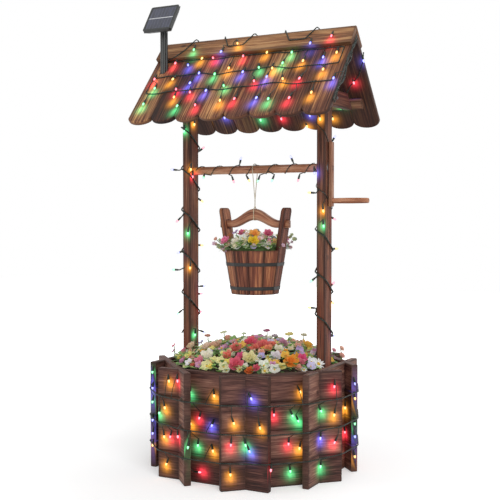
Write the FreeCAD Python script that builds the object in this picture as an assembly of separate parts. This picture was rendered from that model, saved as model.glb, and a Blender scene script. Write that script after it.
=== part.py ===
# Wishing well planter: an octagonal log-cabin wall, two posts, a board roof, a windlass and a
# coopered bucket, with a solar light string wound round all of it.
# Millimetres. The origin is on the ground at the middle of the well, +X runs along the windlass
# towards its crank, -Y is the front and +Z is up.
import FreeCAD, Part
import math
import os

V = FreeCAD.Vector
X_AXIS = V(1, 0, 0)
Z_AXIS = V(0, 0, 1)
ORIGIN = V(0, 0, 0)

# Well wall: courses of eight boards, half-lapped where they cross
WALLS = 8
WALL_ACROSS = 468.0
BOARD_THICK = 18.0
COURSES = 4
COURSE_HEIGHT = 71.0
BOARD_END = 62.0
LAP_SIDE_GAP = 0.3
BOARD_EDGE = 2.0

# Floor, liner and planting
CLEAT_THICK = 18.0
CLEAT_HEIGHT = 20.0
CLEAT_LENGTH = 140.0
CLEAT_FOOT = 20.0
SLATS = 6
SLAT_THICK = 12.0
SLAT_GAP = 5.0
SLAT_CLEARANCE = 1.0
UPRIGHT_WIDTH = 30.0
UPRIGHT_THICK = 16.0
UPRIGHT_BELOW_RIM = 22.0
LINER_WALL = 2.5
LINER_CLEARANCE = 3.0
LINER_BELOW_RIM = 18.0
SOIL_BELOW_RIM = 34.0
PLANTING_CLEARANCE = 2.0
PLANTING_CROWN = 56.0
MOUND_SIDES = 16
MOUND_STEPS = 4

# Posts
POST_THICK = 24.0
POST_WIDTH = 46.0
POST_EDGE = 2.0

# Roof
ROOF_PITCH = 50.0
ROOF_LENGTH = 586.0
ROOF_BOARDS = 8
ROOF_BOARD_GAP = 0.6
ROOF_THICK = 12.0
EAVE_Y = 185.0
EAVE_Z = 922.0
EAVE_ROUND = 20.0
RIDGE_GAP = 0.5
CAP_WIDTH = 50.0
CAP_THICK = 12.0
CAP_END_INSET = 1.0
BATTEN_THICK = 15.0
BATTEN_WIDTH = 25.0
BATTEN_END_INSET = 28.0
UPPER_BATTEN_DOWN = 34.0
LOWER_BATTEN_DOWN = 190.0
TIE_THICK = 18.0
TIE_HEIGHT = 41.0
TIE_BELOW_BATTEN = 11.0

# Windlass
AXLE_Z = 800.0
AXLE_R = 11.0
RUNNING_GAP = 0.08
FACE_GAP = 0.2
GLUE_GAP = 0.05
AXLE_TENON = 9.0
WASHER_R = 14.0
WASHER_SIDES = 12
WASHER_THICK = 2.8
ARM_THICK = 9.0
ARM_WIDTH = 18.0
ARM_ABOVE_AXLE = 66.0
ARM_BELOW_HANDLE = 15.0
ARM_EDGE = 2.0
CRANK_RADIUS = 86.0
GRIP_R = 7.5
GRIP_TENON_R = 4.5
GRIP_TENON_SIDES = 12
GRIP_LENGTH = 99.0
AXLE_SCREW_R = 2.5
AXLE_SCREW_LENGTH = 30.0
AXLE_SCREW_HEAD_R = 6.0
AXLE_SCREW_HEAD = 3.0

# Bucket
STAVES = 12
STAVE_THICK = 12.0
BUCKET_RIM_R = 83.0
BUCKET_BASE_R = 63.5
BUCKET_HEIGHT = 118.0
BUCKET_HANG = 106.0
BOTTOM_UP = 6.0
BOTTOM_THICK = 10.0
CROZE_DEPTH = 3.0
CROZE_GAP = 0.15
HOOP_HEIGHT = 9.0
HOOP_THICK = 1.2
HOOP_GAP = 0.05
UPPER_HOOP_DROP = 37.0
LOWER_HOOP_UP = 17.0
EAR_ABOVE_SLOT = 34.0
EAR_CORNER_R = 13.0
RIM_TO_TENON = 60.0
BAIL_THICK = 14.0
BAIL_TENON_HEIGHT = 20.0
BAIL_TENON_OUT = 8.0
BAIL_SLOT_GAP = 0.2
BAIL_CREST_RISE = 31.0
BAIL_CREST_HEIGHT = 30.0
BAIL_TOP_HALF_SPAN = 75.0
BAIL_UNDER_HALF_SPAN = 68.0
BUCKET_SOIL_BELOW_RIM = 14.0
BUCKET_PLANTING_GAP = 1.0
BUCKET_PLANTING_CROWN = 59.0

# Bucket string
STRING_R = 1.0
STRING_SIDES = 4
WRAP_GAP = 0.3
STRAND_GAP = 0.3
STRAND_JOIN_DROP = 78.0
TWIST_R = 1.3
KNOT_R = 3.0
KNOT_FLAT_R = 1.8
KNOT_HEIGHT = 6.0
LOOP_WIDTH = 2.4
LOOP_GAP = 0.2

# Solar panel and its stake
STAKE_Y = 53.0
STAKE_R = 10.5
STAKE_FLUTES = 8
STAKE_FLUTE_DEPTH = 2.6
STAKE_HOLE_GAP = 0.3
STAKE_BELOW_ROOF = 45.0
STAKE_POINT = 22.0
STAKE_TIP_SHARE = 0.15
TILT_PIVOT_Z = 1190.0
PANEL_TILT = 57.0
PANEL_WIDTH = 90.0
PANEL_HEIGHT = 88.0
PANEL_CORNER_R = 5.0
FRAME_DEPTH = 8.0
FRAME_BORDER = 6.0
FRAME_LEDGE = 4.0
CELL_THICK = 2.0
CELL_GAP = 0.2
SHELL_DEPTH = 12.0
SHELL_TAPER = 9.0
SHELL_WALL = 2.0
PIVOT_BELOW_CENTRE = 15.6
PIVOT_BEHIND_SHELL = 9.2
LUG_R = 7.0
LUG_THICK = 6.0
FORK_GAP = 0.3
FORK_THICK = 4.0
TILT_BOLT_R = 2.5
BOLT_HOLE_SIDES = 12
TILT_BOLT_HEAD_R = 5.0
TILT_BOLT_HEAD = 3.0
WING_HUB_R = 5.0
WING_HUB = 5.0
WING_SPAN = 17.0
WING_THICK = 2.0
BATTERY_R = 7.1
BATTERY_LENGTH = 50.0
BATTERY_UP = 18.0
BATTERY_SIDES = 12
BOARD_WIDTH = 66.0
BOARD_DEPTH = 16.0
BOARD_SHEET = 1.6
BOARD_DOWN = 14.0
BOSS_R = 2.5
BOSS_HEIGHT = 5.0
BUTTON_R = 4.0
BUTTON_FLANGE_R = 5.4
BUTTON_FLANGE = 1.0
BUTTON_PROUD = 2.0
BUTTON_SIDE = 20.0
BUTTON_DOWN = 12.0
BUTTON_HOLE_GAP = 0.08
BUTTON_SIDES = 12

# Screws
SCREW_R = 2.0
SCREW_HEAD_R = 4.0
SCREW_HEAD = 2.4
SCREW_SIDES = 6
POST_SCREW_LENGTH = 38.0
TIE_SCREW_LENGTH = 36.0

# Light string
WIRE_R = 1.1
WIRE_SIDES = 3
WIRE_GAP = 0.15
WIRE_BEND_R = 4.0
BULB_SIDES = 3
BULB_R = 2.6
BULB_LENGTH = 25.0
BULB_NECK_R = 1.1
BULB_TIP_R = 1.4
BULB_SHOULDER = 14.0
BULB_GAP = 0.3
AXLE_COIL_PITCH = 57.0
AXLE_COIL_END = 12.0
LEFT_POST_COIL_TOP = 922.0
LEFT_POST_COIL_PITCH = 115.0
LEFT_POST_COIL_TURNS = 5
RIGHT_POST_COIL_TOP = 915.0
RIGHT_POST_COIL_FIRST_PITCH = 165.0
RIGHT_POST_COIL_PITCH = 110.0
RIGHT_POST_COIL_TURNS = 5
ROOF_ROW_FIRST = 54.0
ROOF_ROW_PITCH = 62.0
ROOF_ROWS = 3
ROOF_ROW_INSET = 18.0
ROOF_LIGHTS_PER_ROW = 9
RIDGE_LOOPS = 3
WELL_RINGS = 3
POST_BULB_OFF = 1.2
POST_BULB_DROOP = 0.3
AXLE_BULB_LEAN = 0.2
ROOF_BULB_SHARE = 0.3
ROOF_BULB_STAGGER = 0.2
ROOF_BULB_SWAY = 8.0
WELL_BULB_SEAT = 1.6
WELL_BULB_LEAN = 0.12
WELL_BULB_SWAY = 0.15
GAP_STEP = 3.0
GAP_SPAN = 80.0
WELL_GAP_SPAN = 200.0

# Worked out from the sizes above
TURN = 360.0 / WALLS
APOTHEM = WALL_ACROSS / 2
WALL_INSIDE = APOTHEM - BOARD_THICK
HALF_SIDE = APOTHEM * math.tan(math.pi / WALLS)
BOARD_HALF = HALF_SIDE + BOARD_END
RIM_Z = COURSES * COURSE_HEIGHT
POST_OUT = WALL_INSIDE
POST_IN = POST_OUT - POST_THICK
SLAT_Z = CLEAT_FOOT + CLEAT_HEIGHT
FLOOR_Z = SLAT_Z + SLAT_THICK
LINER_OUT = min(POST_IN, WALL_INSIDE - UPRIGHT_THICK) - LINER_CLEARANCE
POST_WALLS = (WALLS // 4, WALLS - WALLS // 4)

PITCH = math.radians(ROOF_PITCH)
APEX_Z = EAVE_Z + EAVE_Y * math.tan(PITCH)
SLOPE_LENGTH = EAVE_Y / math.cos(PITCH)
ROOF_HALF = ROOF_LENGTH / 2
ROOF_BOARD_PITCH = ROOF_LENGTH / ROOF_BOARDS
BATTEN_HALF = ROOF_HALF - BATTEN_END_INSET
BATTEN_INNER = ROOF_THICK + BATTEN_THICK

AXLE_END = POST_OUT + FACE_GAP
ARM_IN = AXLE_END + WASHER_THICK
ARM_OUT = ARM_IN + ARM_THICK

BAIL_TOP_Z = AXLE_Z - BUCKET_HANG
TENON_TOP_Z = BAIL_TOP_Z - BAIL_CREST_RISE
TENON_Z = TENON_TOP_Z - BAIL_TENON_HEIGHT
BUCKET_RIM_Z = TENON_Z - RIM_TO_TENON
BUCKET_Z = BUCKET_RIM_Z - BUCKET_HEIGHT
EAR_TOP_Z = TENON_TOP_Z + EAR_ABOVE_SLOT
BUCKET_TAPER = (BUCKET_RIM_R - BUCKET_BASE_R) / BUCKET_HEIGHT

WIRE_OFF = WIRE_R + WIRE_GAP
WRAP_R = AXLE_R + 2 * WIRE_OFF + STRING_R + WRAP_GAP
STAKE_X = -ROOF_HALF + ROOF_BOARD_PITCH / 2
STAKE_ROOF_Z = APEX_Z - STAKE_Y * math.tan(PITCH)
SHELL_BACK = FRAME_DEPTH + SHELL_DEPTH
PIVOT_BACK = SHELL_BACK + PIVOT_BEHIND_SHELL


def box(x0, x1, y0, y1, z0, z1):
    """A block between two corners."""
    return Part.makeBox(x1 - x0, y1 - y0, z1 - z0, V(x0, y0, z0))


def turned(shape, degrees, axis=Z_AXIS, at=ORIGIN):
    """A copy turned about an axis."""
    copy = shape.copy()
    copy.rotate(at, axis, degrees)
    return copy


def moved(shape, x, y, z):
    """A copy moved along."""
    copy = shape.copy()
    copy.translate(V(x, y, z))
    return copy


def prism(outline, along):
    """A solid drawn out from a closed outline of points."""
    face = Part.Face(Part.makePolygon(outline + outline[:1]))
    return face.extrude(along)


def octagon(inside, z0, z1):
    """A block with eight equal sides, at this distance from the middle."""
    corner = inside / math.cos(math.pi / WALLS)
    outline = []
    for k in range(WALLS):
        angle = math.radians((k + 0.5) * TURN)
        outline.append(V(corner * math.cos(angle), corner * math.sin(angle), z0))
    return prism(outline, V(0, 0, z1 - z0))


def ring_points(count, radius, z, start=0.0):
    """The corners of an upright polygon round the Z axis, first corner at this share of a step."""
    step = 2 * math.pi / count
    return [V(radius * math.cos((k + start) * step), radius * math.sin((k + start) * step), z)
            for k in range(count)]


def faceted(rings):
    """A solid with flat sides between rings of as many points, each a scaled copy of the last."""
    faces = [Part.Face(Part.makePolygon(ring + ring[:1])) for ring in (rings[0], rings[-1])]
    for low, high in zip(rings, rings[1:]):
        for k in range(len(low)):
            corners = [low[k - 1], low[k], high[k], high[k - 1]]
            faces.append(Part.Face(Part.makePolygon(corners + corners[:1])))
    solid = Part.Solid(Part.Shell(faces))
    if solid.Volume < 0:
        solid.reverse()
    return solid


def rod_x(radius, x0, x1, y=0.0, z=0.0):
    """A round bar along X."""
    return Part.makeCylinder(radius, x1 - x0, V(x0, y, z), X_AXIS)


def save(name, *solids):
    """Writes one piece, or a group of like pieces, as one STEP file."""
    shape = solids[0] if len(solids) == 1 else Part.makeCompound(list(solids))
    shape.exportStep("parts/" + name + ".step")


def unit(vector):
    """A copy of length one."""
    return vector / vector.Length


def arc_on(start, tangent, end):
    """The arc that leaves start along tangent and reaches end, or a line if it hardly bends."""
    chord = end - start
    sine = tangent.cross(chord).Length / chord.Length
    if sine < 1e-6:
        return Part.LineSegment(start, end).toShape()
    inward = unit(chord - tangent * chord.dot(tangent))
    radius = chord.Length / (2 * sine)
    centre = start + inward * radius
    bulge = unit((start + end) * 0.5 - centre)
    return Part.Arc(start, centre + bulge * radius, end).toShape()


def biarc(start, start_way, end, end_way):
    """Two arcs that meet smoothly and leave and arrive in the ways given."""
    chord = end - start
    both = start_way + end_way
    opening = 2 * (1 - start_way.dot(end_way))
    reach = (math.sqrt(chord.dot(both) ** 2 + opening * chord.dot(chord)) - chord.dot(both)) / opening
    middle = (start + end + (start_way - end_way) * reach) * 0.5
    way = unit(end - start - (start_way + end_way) * reach)
    return [arc_on(start, start_way, middle), arc_on(middle, way, end)]


def rounded_path(points, radius):
    """Straight runs joined by tangent arcs, as one wire."""
    edges = []
    start = points[0]
    for before, corner, after in zip(points, points[1:], points[2:]):
        into = corner - before
        out = after - corner
        half_turn = into.getAngle(out) / 2
        reach = min(radius * math.tan(half_turn), 0.45 * into.Length, 0.45 * out.Length)
        leave = corner - unit(into) * reach
        join = corner + unit(out) * reach
        edges.append(Part.LineSegment(start, leave).toShape())
        edges.append(arc_on(leave, unit(into), join))
        start = join
    edges.append(Part.LineSegment(start, points[-1]).toShape())
    return Part.Wire(edges)


def tube(path, radius, sides, way):
    """A cord of few sides swept along a path that starts in this way."""
    start = path.OrderedVertexes[0].Point
    across = unit(way.cross(Z_AXIS if abs(way.z) < 0.9 else X_AXIS))
    up = unit(across.cross(way))
    outline = []
    for k in range(sides):
        angle = 2 * math.pi * (k + 0.5) / sides
        outline.append(start + across * (radius * math.cos(angle)) + up * (radius * math.sin(angle)))
    section = Part.makePolygon(outline + outline[:1])
    return path.makePipeShell([section], True, False)


# Well wall

def wall_board(course, upper):
    """A front wall board; its two laps keep the upper or the lower half of the board."""
    foot = course * COURSE_HEIGHT
    board = box(-BOARD_HALF, BOARD_HALF, -APOTHEM, -WALL_INSIDE, foot, foot + COURSE_HEIGHT)
    outer_edges = [e for e in board.Edges if e.Length > BOARD_HALF and e.Vertexes[0].Y < -WALL_INSIDE]
    board = board.makeChamfer(BOARD_EDGE, outer_edges)
    seat = foot + COURSE_HEIGHT / 2
    lap_z = (foot - BOARD_EDGE, seat) if upper else (seat, foot + COURSE_HEIGHT + BOARD_EDGE)
    slot = box(-BOARD_HALF, BOARD_HALF, -APOTHEM - LAP_SIDE_GAP, -WALL_INSIDE + LAP_SIDE_GAP, *lap_z)
    for side in (-1, 1):
        board = board.cut(turned(slot, side * TURN))
    return board


def wall():
    """Each course is a ring of boards that lap over and under each other in turn."""
    names = ("bottom_course_boards", "second_course_boards", "third_course_boards", "top_course_boards")
    for course in range(COURSES):
        lower = wall_board(course, False)
        upper = wall_board(course, True)
        ring = [turned(upper if k % 2 else lower, k * TURN) for k in range(WALLS)]
        name = names[course] if course < len(names) else "course_%d_boards" % (course + 1)
        save(name, *ring)


def well_inside():
    """Cleats, floor slats, uprights, liner, soil and the mound of flowers."""
    free_walls = [k for k in range(WALLS) if k not in POST_WALLS]
    cleat = box(-CLEAT_LENGTH / 2, CLEAT_LENGTH / 2, -WALL_INSIDE, -WALL_INSIDE + CLEAT_THICK,
                CLEAT_FOOT, SLAT_Z)
    save("floor_cleats", *[turned(cleat, k * TURN) for k in free_walls])
    upright = box(-UPRIGHT_WIDTH / 2, UPRIGHT_WIDTH / 2, -WALL_INSIDE, -WALL_INSIDE + UPRIGHT_THICK,
                  FLOOR_Z, RIM_Z - UPRIGHT_BELOW_RIM)
    save("wall_uprights", *[turned(upright, k * TURN) for k in free_walls])

    floor = octagon(WALL_INSIDE - SLAT_CLEARANCE, SLAT_Z, FLOOR_Z)
    span = 2 * (POST_IN - SLAT_CLEARANCE)
    width = (span + SLAT_GAP) / SLATS - SLAT_GAP
    slats = []
    for k in range(SLATS):
        left = -span / 2 + k * (width + SLAT_GAP)
        slat = box(left, left + width, -APOTHEM, APOTHEM, SLAT_Z, FLOOR_Z)
        slats.append(slat.common(floor).Solids[0])
    save("floor_slats", *slats)

    liner_in = LINER_OUT - LINER_WALL
    liner_floor = FLOOR_Z + LINER_WALL
    soil_top = RIM_Z - SOIL_BELOW_RIM
    tub = octagon(LINER_OUT, FLOOR_Z, RIM_Z - LINER_BELOW_RIM)
    save("planter_liner", tub.cut(octagon(liner_in, liner_floor, RIM_Z)))
    save("planter_soil", octagon(liner_in, liner_floor, soil_top))

    radius = liner_in - PLANTING_CLEARANCE
    save("planter_flowers", mound(radius, soil_top, RIM_Z, PLANTING_CROWN))


def mound(radius, foot, shoulder, rise):
    """A planting's rounded heap: upright sides to a shoulder, then flat sides over to the crown."""
    dome_r = (radius ** 2 + rise ** 2) / (2 * rise)
    rings = [ring_points(MOUND_SIDES, radius, foot)]
    for k in range(MOUND_STEPS):
        ring_r = radius * (1 - k / MOUND_STEPS)
        height = shoulder + rise - dome_r + math.sqrt(dome_r ** 2 - ring_r ** 2)
        rings.append(ring_points(MOUND_SIDES, ring_r, height))
    return faceted(rings)


# Posts and roof

def slope_at(down, out):
    """How far back and how high a place is, this far down the slope and out of it."""
    back = down * math.cos(PITCH) + out * math.sin(PITCH)
    return back, APEX_Z - down * math.sin(PITCH) + out * math.cos(PITCH)


def roof_point(side, x, down, out):
    """A point on the front (-1) or back (1) slope."""
    back, z = slope_at(down, out)
    return V(x, side * back, z)


def on_slope(shape, side):
    """Lays a shape drawn flat, with y down the slope, on the front (-1) or back (1) slope."""
    laid = turned(shape, -ROOF_PITCH, X_AXIS)
    laid.translate(V(0, 0, APEX_Z))
    return turned(laid, 180) if side < 0 else laid


def plumb_cut(shape, side):
    """Cuts the ridge end upright, so that both slopes meet with a small gap."""
    reach = ROOF_LENGTH
    half = box(-reach, reach, RIDGE_GAP / 2, reach, 0, APEX_Z + reach)
    return shape.common(turned(half, 180) if side < 0 else half).Solids[0]


def gable_outline(x, z, half_width):
    """A post's upright outline, with a top cut to the pitch of the battens' undersides."""
    back, high = slope_at(0, -BATTEN_INNER)
    peak = high + back * math.tan(PITCH)
    eaves = peak - half_width * math.tan(PITCH)
    return [V(x, -half_width, z), V(x, half_width, z), V(x, half_width, eaves), V(x, 0, peak),
            V(x, -half_width, eaves)]


def posts():
    """Two posts that stand on the ground inside the wall, bored for the windlass."""
    post = prism(gable_outline(POST_IN, 0, POST_WIDTH / 2), V(POST_THICK, 0, 0))
    corners = [e for e in post.Edges
               if abs(e.Vertexes[0].X - e.Vertexes[1].X) < 0.01 and abs(e.Vertexes[0].Y - e.Vertexes[1].Y) < 0.01]
    post = post.makeChamfer(POST_EDGE, corners)
    post = post.cut(rod_x(AXLE_R + RUNNING_GAP, POST_IN - 1, POST_OUT + 1, 0, AXLE_Z))
    save("right_post", post)
    save("left_post", turned(post, 180))


def roof_board():
    """One roof board drawn flat, its lower end half an ellipse."""
    half = (ROOF_BOARD_PITCH - ROOF_BOARD_GAP) / 2
    square_end = SLOPE_LENGTH - EAVE_ROUND
    curve = Part.Ellipse(V(0, square_end, 0), half, EAVE_ROUND)
    edges = [Part.ArcOfEllipse(curve, 0, math.pi).toShape(),
             Part.LineSegment(V(-half, square_end, 0), V(-half, 0, 0)).toShape(),
             Part.LineSegment(V(-half, 0, 0), V(half, 0, 0)).toShape(),
             Part.LineSegment(V(half, 0, 0), V(half, square_end, 0)).toShape()]
    return Part.Face(Part.Wire(edges)).extrude(V(0, 0, -ROOF_THICK))


def roof():
    """Boards, ridge caps, battens and the two ties that carry the lower battens."""
    stake_hole = Part.makeCylinder(STAKE_R + STAKE_HOLE_GAP, ROOF_LENGTH, V(STAKE_X, -STAKE_Y, EAVE_Z))
    for side, name in ((-1, "front"), (1, "back")):
        boards = []
        for k in range(ROOF_BOARDS):
            x = (k - (ROOF_BOARDS - 1) / 2) * ROOF_BOARD_PITCH
            board = plumb_cut(on_slope(moved(roof_board(), x, 0, 0), side), side)
            if side < 0 and abs(-x - STAKE_X) < 1:
                board = board.cut(stake_hole)
            boards.append(board)
        save(name + "_roof_boards", *boards)
        cap_half = ROOF_HALF - CAP_END_INSET
        above = CAP_THICK * math.tan(PITCH) + 1
        cap = box(-cap_half, cap_half, -above, CAP_WIDTH, 0, CAP_THICK)
        save(name + "_ridge_cap", plumb_cut(on_slope(cap, side), side))
    for down, name in ((UPPER_BATTEN_DOWN, "upper"), (LOWER_BATTEN_DOWN, "lower")):
        batten = box(-BATTEN_HALF, BATTEN_HALF, down, down + BATTEN_WIDTH, -BATTEN_INNER, -ROOF_THICK)
        save(name + "_battens", on_slope(batten, -1), on_slope(batten, 1))

    foot = slope_at(LOWER_BATTEN_DOWN + BATTEN_WIDTH / 2, -BATTEN_INNER)[1] - TIE_BELOW_BATTEN
    outline = []
    for z, end in ((foot, -1), (foot, 1), (foot + TIE_HEIGHT, 1), (foot + TIE_HEIGHT, -1)):
        back, high = slope_at(0, -BATTEN_INNER)
        outline.append(V(POST_OUT, end * (back + (high - z) / math.tan(PITCH)), z))
    tie = prism(outline, V(TIE_THICK, 0, 0))
    save("gable_ties", tie, turned(tie, 180))
    return foot + TIE_HEIGHT / 2


def screw(head_r, head, shank_r, length):
    """A screw pointing along +X, its head's underside at the origin."""
    solid = None
    for radius, low, high in ((head_r, -head, 0), (shank_r, 0, length)):
        rod = prism(ring_points(SCREW_SIDES, radius, low), V(0, 0, high - low))
        solid = rod if solid is None else solid.fuse(rod)
    return turned(solid, 90, V(0, 1, 0))


def screws(tie_z):
    """One screw through each post into every course, and two through each tie into its post."""
    into_wall = []
    for course in range(COURSES):
        place = moved(screw(SCREW_HEAD_R, SCREW_HEAD, SCREW_R, POST_SCREW_LENGTH),
                      POST_IN, 0, (course + 0.5) * COURSE_HEIGHT)
        into_wall += [place, turned(place, 180)]
    save("post_screws", *into_wall)
    into_post = []
    for side in (-1, 1):
        place = turned(screw(SCREW_HEAD_R, SCREW_HEAD, SCREW_R, TIE_SCREW_LENGTH), 180)
        place = moved(place, POST_OUT + TIE_THICK, side * POST_WIDTH / 4, tie_z)
        into_post += [place, turned(place, 180)]
    save("tie_screws", *into_post)


# Windlass

def along_x(outline, x0, x1, z=0.0):
    """A bar along X with this upright outline, drawn round the Z axis and laid over."""
    return moved(turned(prism(outline, V(0, 0, x1 - x0)), 90, V(0, 1, 0)), x0, 0, z)


def washer(x0, x1, bore_r):
    """A ring round the windlass axis, its bore wide enough for a bar of this radius."""
    bore = ring_points(WASHER_SIDES, bore_r / math.cos(math.pi / WASHER_SIDES), -1)
    ring = along_x(ring_points(WASHER_SIDES, WASHER_R, 0), x0, x1, AXLE_Z)
    return ring.cut(along_x(bore, x0 - 1, x1 + 1, AXLE_Z))


def windlass():
    """Axle, crank arm and grip, held in the posts by a washer at each end."""
    axle = rod_x(AXLE_R, -AXLE_END, AXLE_END, 0, AXLE_Z)
    tenon = AXLE_TENON / 2
    axle = axle.fuse(box(AXLE_END, ARM_OUT, -tenon, tenon, AXLE_Z - tenon, AXLE_Z + tenon))
    hexagon = ring_points(SCREW_SIDES, AXLE_SCREW_R + GLUE_GAP, 0)
    pilot = along_x(hexagon, -AXLE_END - 1, -AXLE_END + AXLE_SCREW_LENGTH, AXLE_Z)
    save("windlass_axle", axle.cut(pilot))

    grip_z = AXLE_Z - CRANK_RADIUS
    half = ARM_WIDTH / 2
    arm = box(ARM_IN, ARM_OUT, -half, half, grip_z - ARM_BELOW_HANDLE, AXLE_Z + ARM_ABOVE_AXLE)
    arm = arm.makeChamfer(ARM_EDGE, [e for e in arm.Edges if e.Length > CRANK_RADIUS])
    mortise = tenon + GLUE_GAP
    arm = arm.cut(box(ARM_IN - 1, ARM_OUT + 1, -mortise, mortise, AXLE_Z - mortise, AXLE_Z + mortise))
    socket = ring_points(GRIP_TENON_SIDES, GRIP_TENON_R + GLUE_GAP, 0)
    save("crank_arm", arm.cut(along_x(socket, ARM_IN - 1, ARM_OUT + 1, grip_z)))
    grip = rod_x(GRIP_R, ARM_OUT, ARM_OUT + GRIP_LENGTH, 0, grip_z)
    grip_tenon = along_x(ring_points(GRIP_TENON_SIDES, GRIP_TENON_R, 0), ARM_IN, ARM_OUT, grip_z)
    save("crank_grip", grip.fuse(grip_tenon))

    left = -AXLE_END - WASHER_THICK
    save("axle_washers", washer(AXLE_END, ARM_IN, tenon * math.sqrt(2) + GLUE_GAP),
         washer(left, -AXLE_END, AXLE_SCREW_R + GLUE_GAP))
    end_screw = screw(AXLE_SCREW_HEAD_R, AXLE_SCREW_HEAD, AXLE_SCREW_R, AXLE_SCREW_LENGTH)
    save("axle_end_screw", moved(end_screw, left, 0, AXLE_Z))


# Bucket and its string

def bucket_r(z):
    """How far the flat outer faces stand from the middle at this height; the ears carry on so."""
    return BUCKET_BASE_R + (z - BUCKET_Z) * BUCKET_TAPER


def tapered(shrink, z0, z1):
    """A block with one flat side to each stave and the bucket's taper, this much smaller all round."""
    corner = math.cos(math.pi / STAVES)
    return faceted([ring_points(STAVES, (bucket_r(z) - shrink) / corner, z, 0.5) for z in (z0, z1)])


def stave(angle, top):
    """One flat-faced wedge of the tapered wall, with the groove that holds the bottom."""
    wall_piece = tapered(0, BUCKET_Z, top).cut(tapered(STAVE_THICK, BUCKET_Z - 1, top + 1))
    groove_z = BUCKET_Z + BOTTOM_UP
    groove = prism(bottom_outline(groove_z - CROZE_GAP, 0), V(0, 0, BOTTOM_THICK + 2 * CROZE_GAP))
    reach = 2 * BUCKET_RIM_R
    outline = [V(0, 0, BUCKET_Z - 1)]
    for end in (-0.5, 0.5):
        way = math.radians(angle + end * 360 / STAVES)
        outline.append(V(reach * math.cos(way), reach * math.sin(way), BUCKET_Z - 1))
    wedge = prism(outline, V(0, 0, top - BUCKET_Z + 2))
    return wall_piece.common(wedge).cut(groove).Solids[0]


def bottom_outline(z, gap):
    """The bottom's outline, this much smaller than the groove that it sits in."""
    inside = bucket_r(BUCKET_Z + BOTTOM_UP) - STAVE_THICK + CROZE_DEPTH - gap
    return ring_points(STAVES, inside / math.cos(math.pi / STAVES), z, 0.5)


def ear_stave():
    """The stave at +X carried up above the rim, slotted for the bail, its top corners round."""
    half = BUCKET_RIM_R * math.sin(math.pi / STAVES)
    low = EAR_TOP_Z - EAR_CORNER_R
    turn = EAR_CORNER_R * math.sqrt(0.5)
    reach = 2 * half
    corners = [V(0, half, low), V(0, half - EAR_CORNER_R, EAR_TOP_Z), V(0, EAR_CORNER_R - half, EAR_TOP_Z),
               V(0, -half, low), V(0, -half, BUCKET_RIM_Z), V(0, -reach, BUCKET_RIM_Z),
               V(0, -reach, BUCKET_Z - 1), V(0, reach, BUCKET_Z - 1), V(0, reach, BUCKET_RIM_Z),
               V(0, half, BUCKET_RIM_Z), V(0, half, low)]
    right = Part.Arc(corners[0], V(0, half - EAR_CORNER_R + turn, low + turn), corners[1]).toShape()
    left = Part.Arc(corners[2], V(0, EAR_CORNER_R - half - turn, low + turn), corners[3]).toShape()
    edges = [right, Part.LineSegment(corners[1], corners[2]).toShape(), left]
    for a, b in zip(corners[3:], corners[4:]):
        edges.append(Part.LineSegment(a, b).toShape())
    outline = Part.Face(Part.Wire(edges)).extrude(V(2 * BUCKET_RIM_R, 0, 0))
    slot_half = BAIL_THICK / 2 + BAIL_SLOT_GAP
    slot = box(0, 2 * BUCKET_RIM_R, -slot_half, slot_half, TENON_Z - BAIL_SLOT_GAP, TENON_TOP_Z + BAIL_SLOT_GAP)
    return stave(0, EAR_TOP_Z).common(outline).cut(slot).Solids[0]


def swell(span, low, high):
    """Half of a wave from low at this distance out to high in the middle: two equal tangent arcs."""
    rise = high - low
    radius = (span ** 2 + rise ** 2) / (4 * rise)
    lean = math.asin(span / (2 * radius)) / 2
    dip_x = span - radius * math.sin(lean)
    dip_z = low + radius * (1 - math.cos(lean))
    crest_x = radius * math.sin(lean)
    crest_z = high - radius * (1 - math.cos(lean))
    return [(dip_x, dip_z), (span / 2, (low + high) / 2), (crest_x, crest_z)]


def wave_edges(span, low, high, half):
    """The bail's top or underside from end to end: flat, up over the arch, flat again."""
    dip, middle, crest = swell(span, low, high)
    at = [V(-half, 0, low), V(-span, 0, low), V(-dip[0], 0, dip[1]), V(-middle[0], 0, middle[1]),
          V(-crest[0], 0, crest[1]), V(0, 0, high), V(crest[0], 0, crest[1]), V(middle[0], 0, middle[1]),
          V(dip[0], 0, dip[1]), V(span, 0, low), V(half, 0, low)]
    return [Part.LineSegment(at[0], at[1]).toShape(), Part.Arc(at[1], at[2], at[3]).toShape(),
            Part.Arc(at[3], at[4], at[5]).toShape(), Part.Arc(at[5], at[6], at[7]).toShape(),
            Part.Arc(at[7], at[8], at[9]).toShape(), Part.LineSegment(at[9], at[10]).toShape()]


def bail():
    """The arched handle: a sawn board whose two ends pass through the ears."""
    half = bucket_r(TENON_TOP_Z) + BAIL_TENON_OUT
    top = wave_edges(BAIL_TOP_HALF_SPAN, TENON_TOP_Z, BAIL_TOP_Z, half)
    under = wave_edges(BAIL_UNDER_HALF_SPAN, TENON_Z, BAIL_TOP_Z - BAIL_CREST_HEIGHT, half)
    ends = [Part.LineSegment(V(x, 0, TENON_Z), V(x, 0, TENON_TOP_Z)).toShape() for x in (-half, half)]
    outline = Part.Wire(Part.__sortEdges__(top + under + ends))
    body = Part.Face(outline).extrude(V(0, BAIL_THICK, 0))
    return moved(body, 0, -BAIL_THICK / 2, 0)


def hoop(middle_z):
    """A thin tapered band, bent to the staves and driven on from below."""
    z0 = middle_z - HOOP_HEIGHT / 2
    z1 = middle_z + HOOP_HEIGHT / 2
    return tapered(-HOOP_GAP - HOOP_THICK, z0, z1).cut(tapered(-HOOP_GAP, z0 - 1, z1 + 1))


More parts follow.
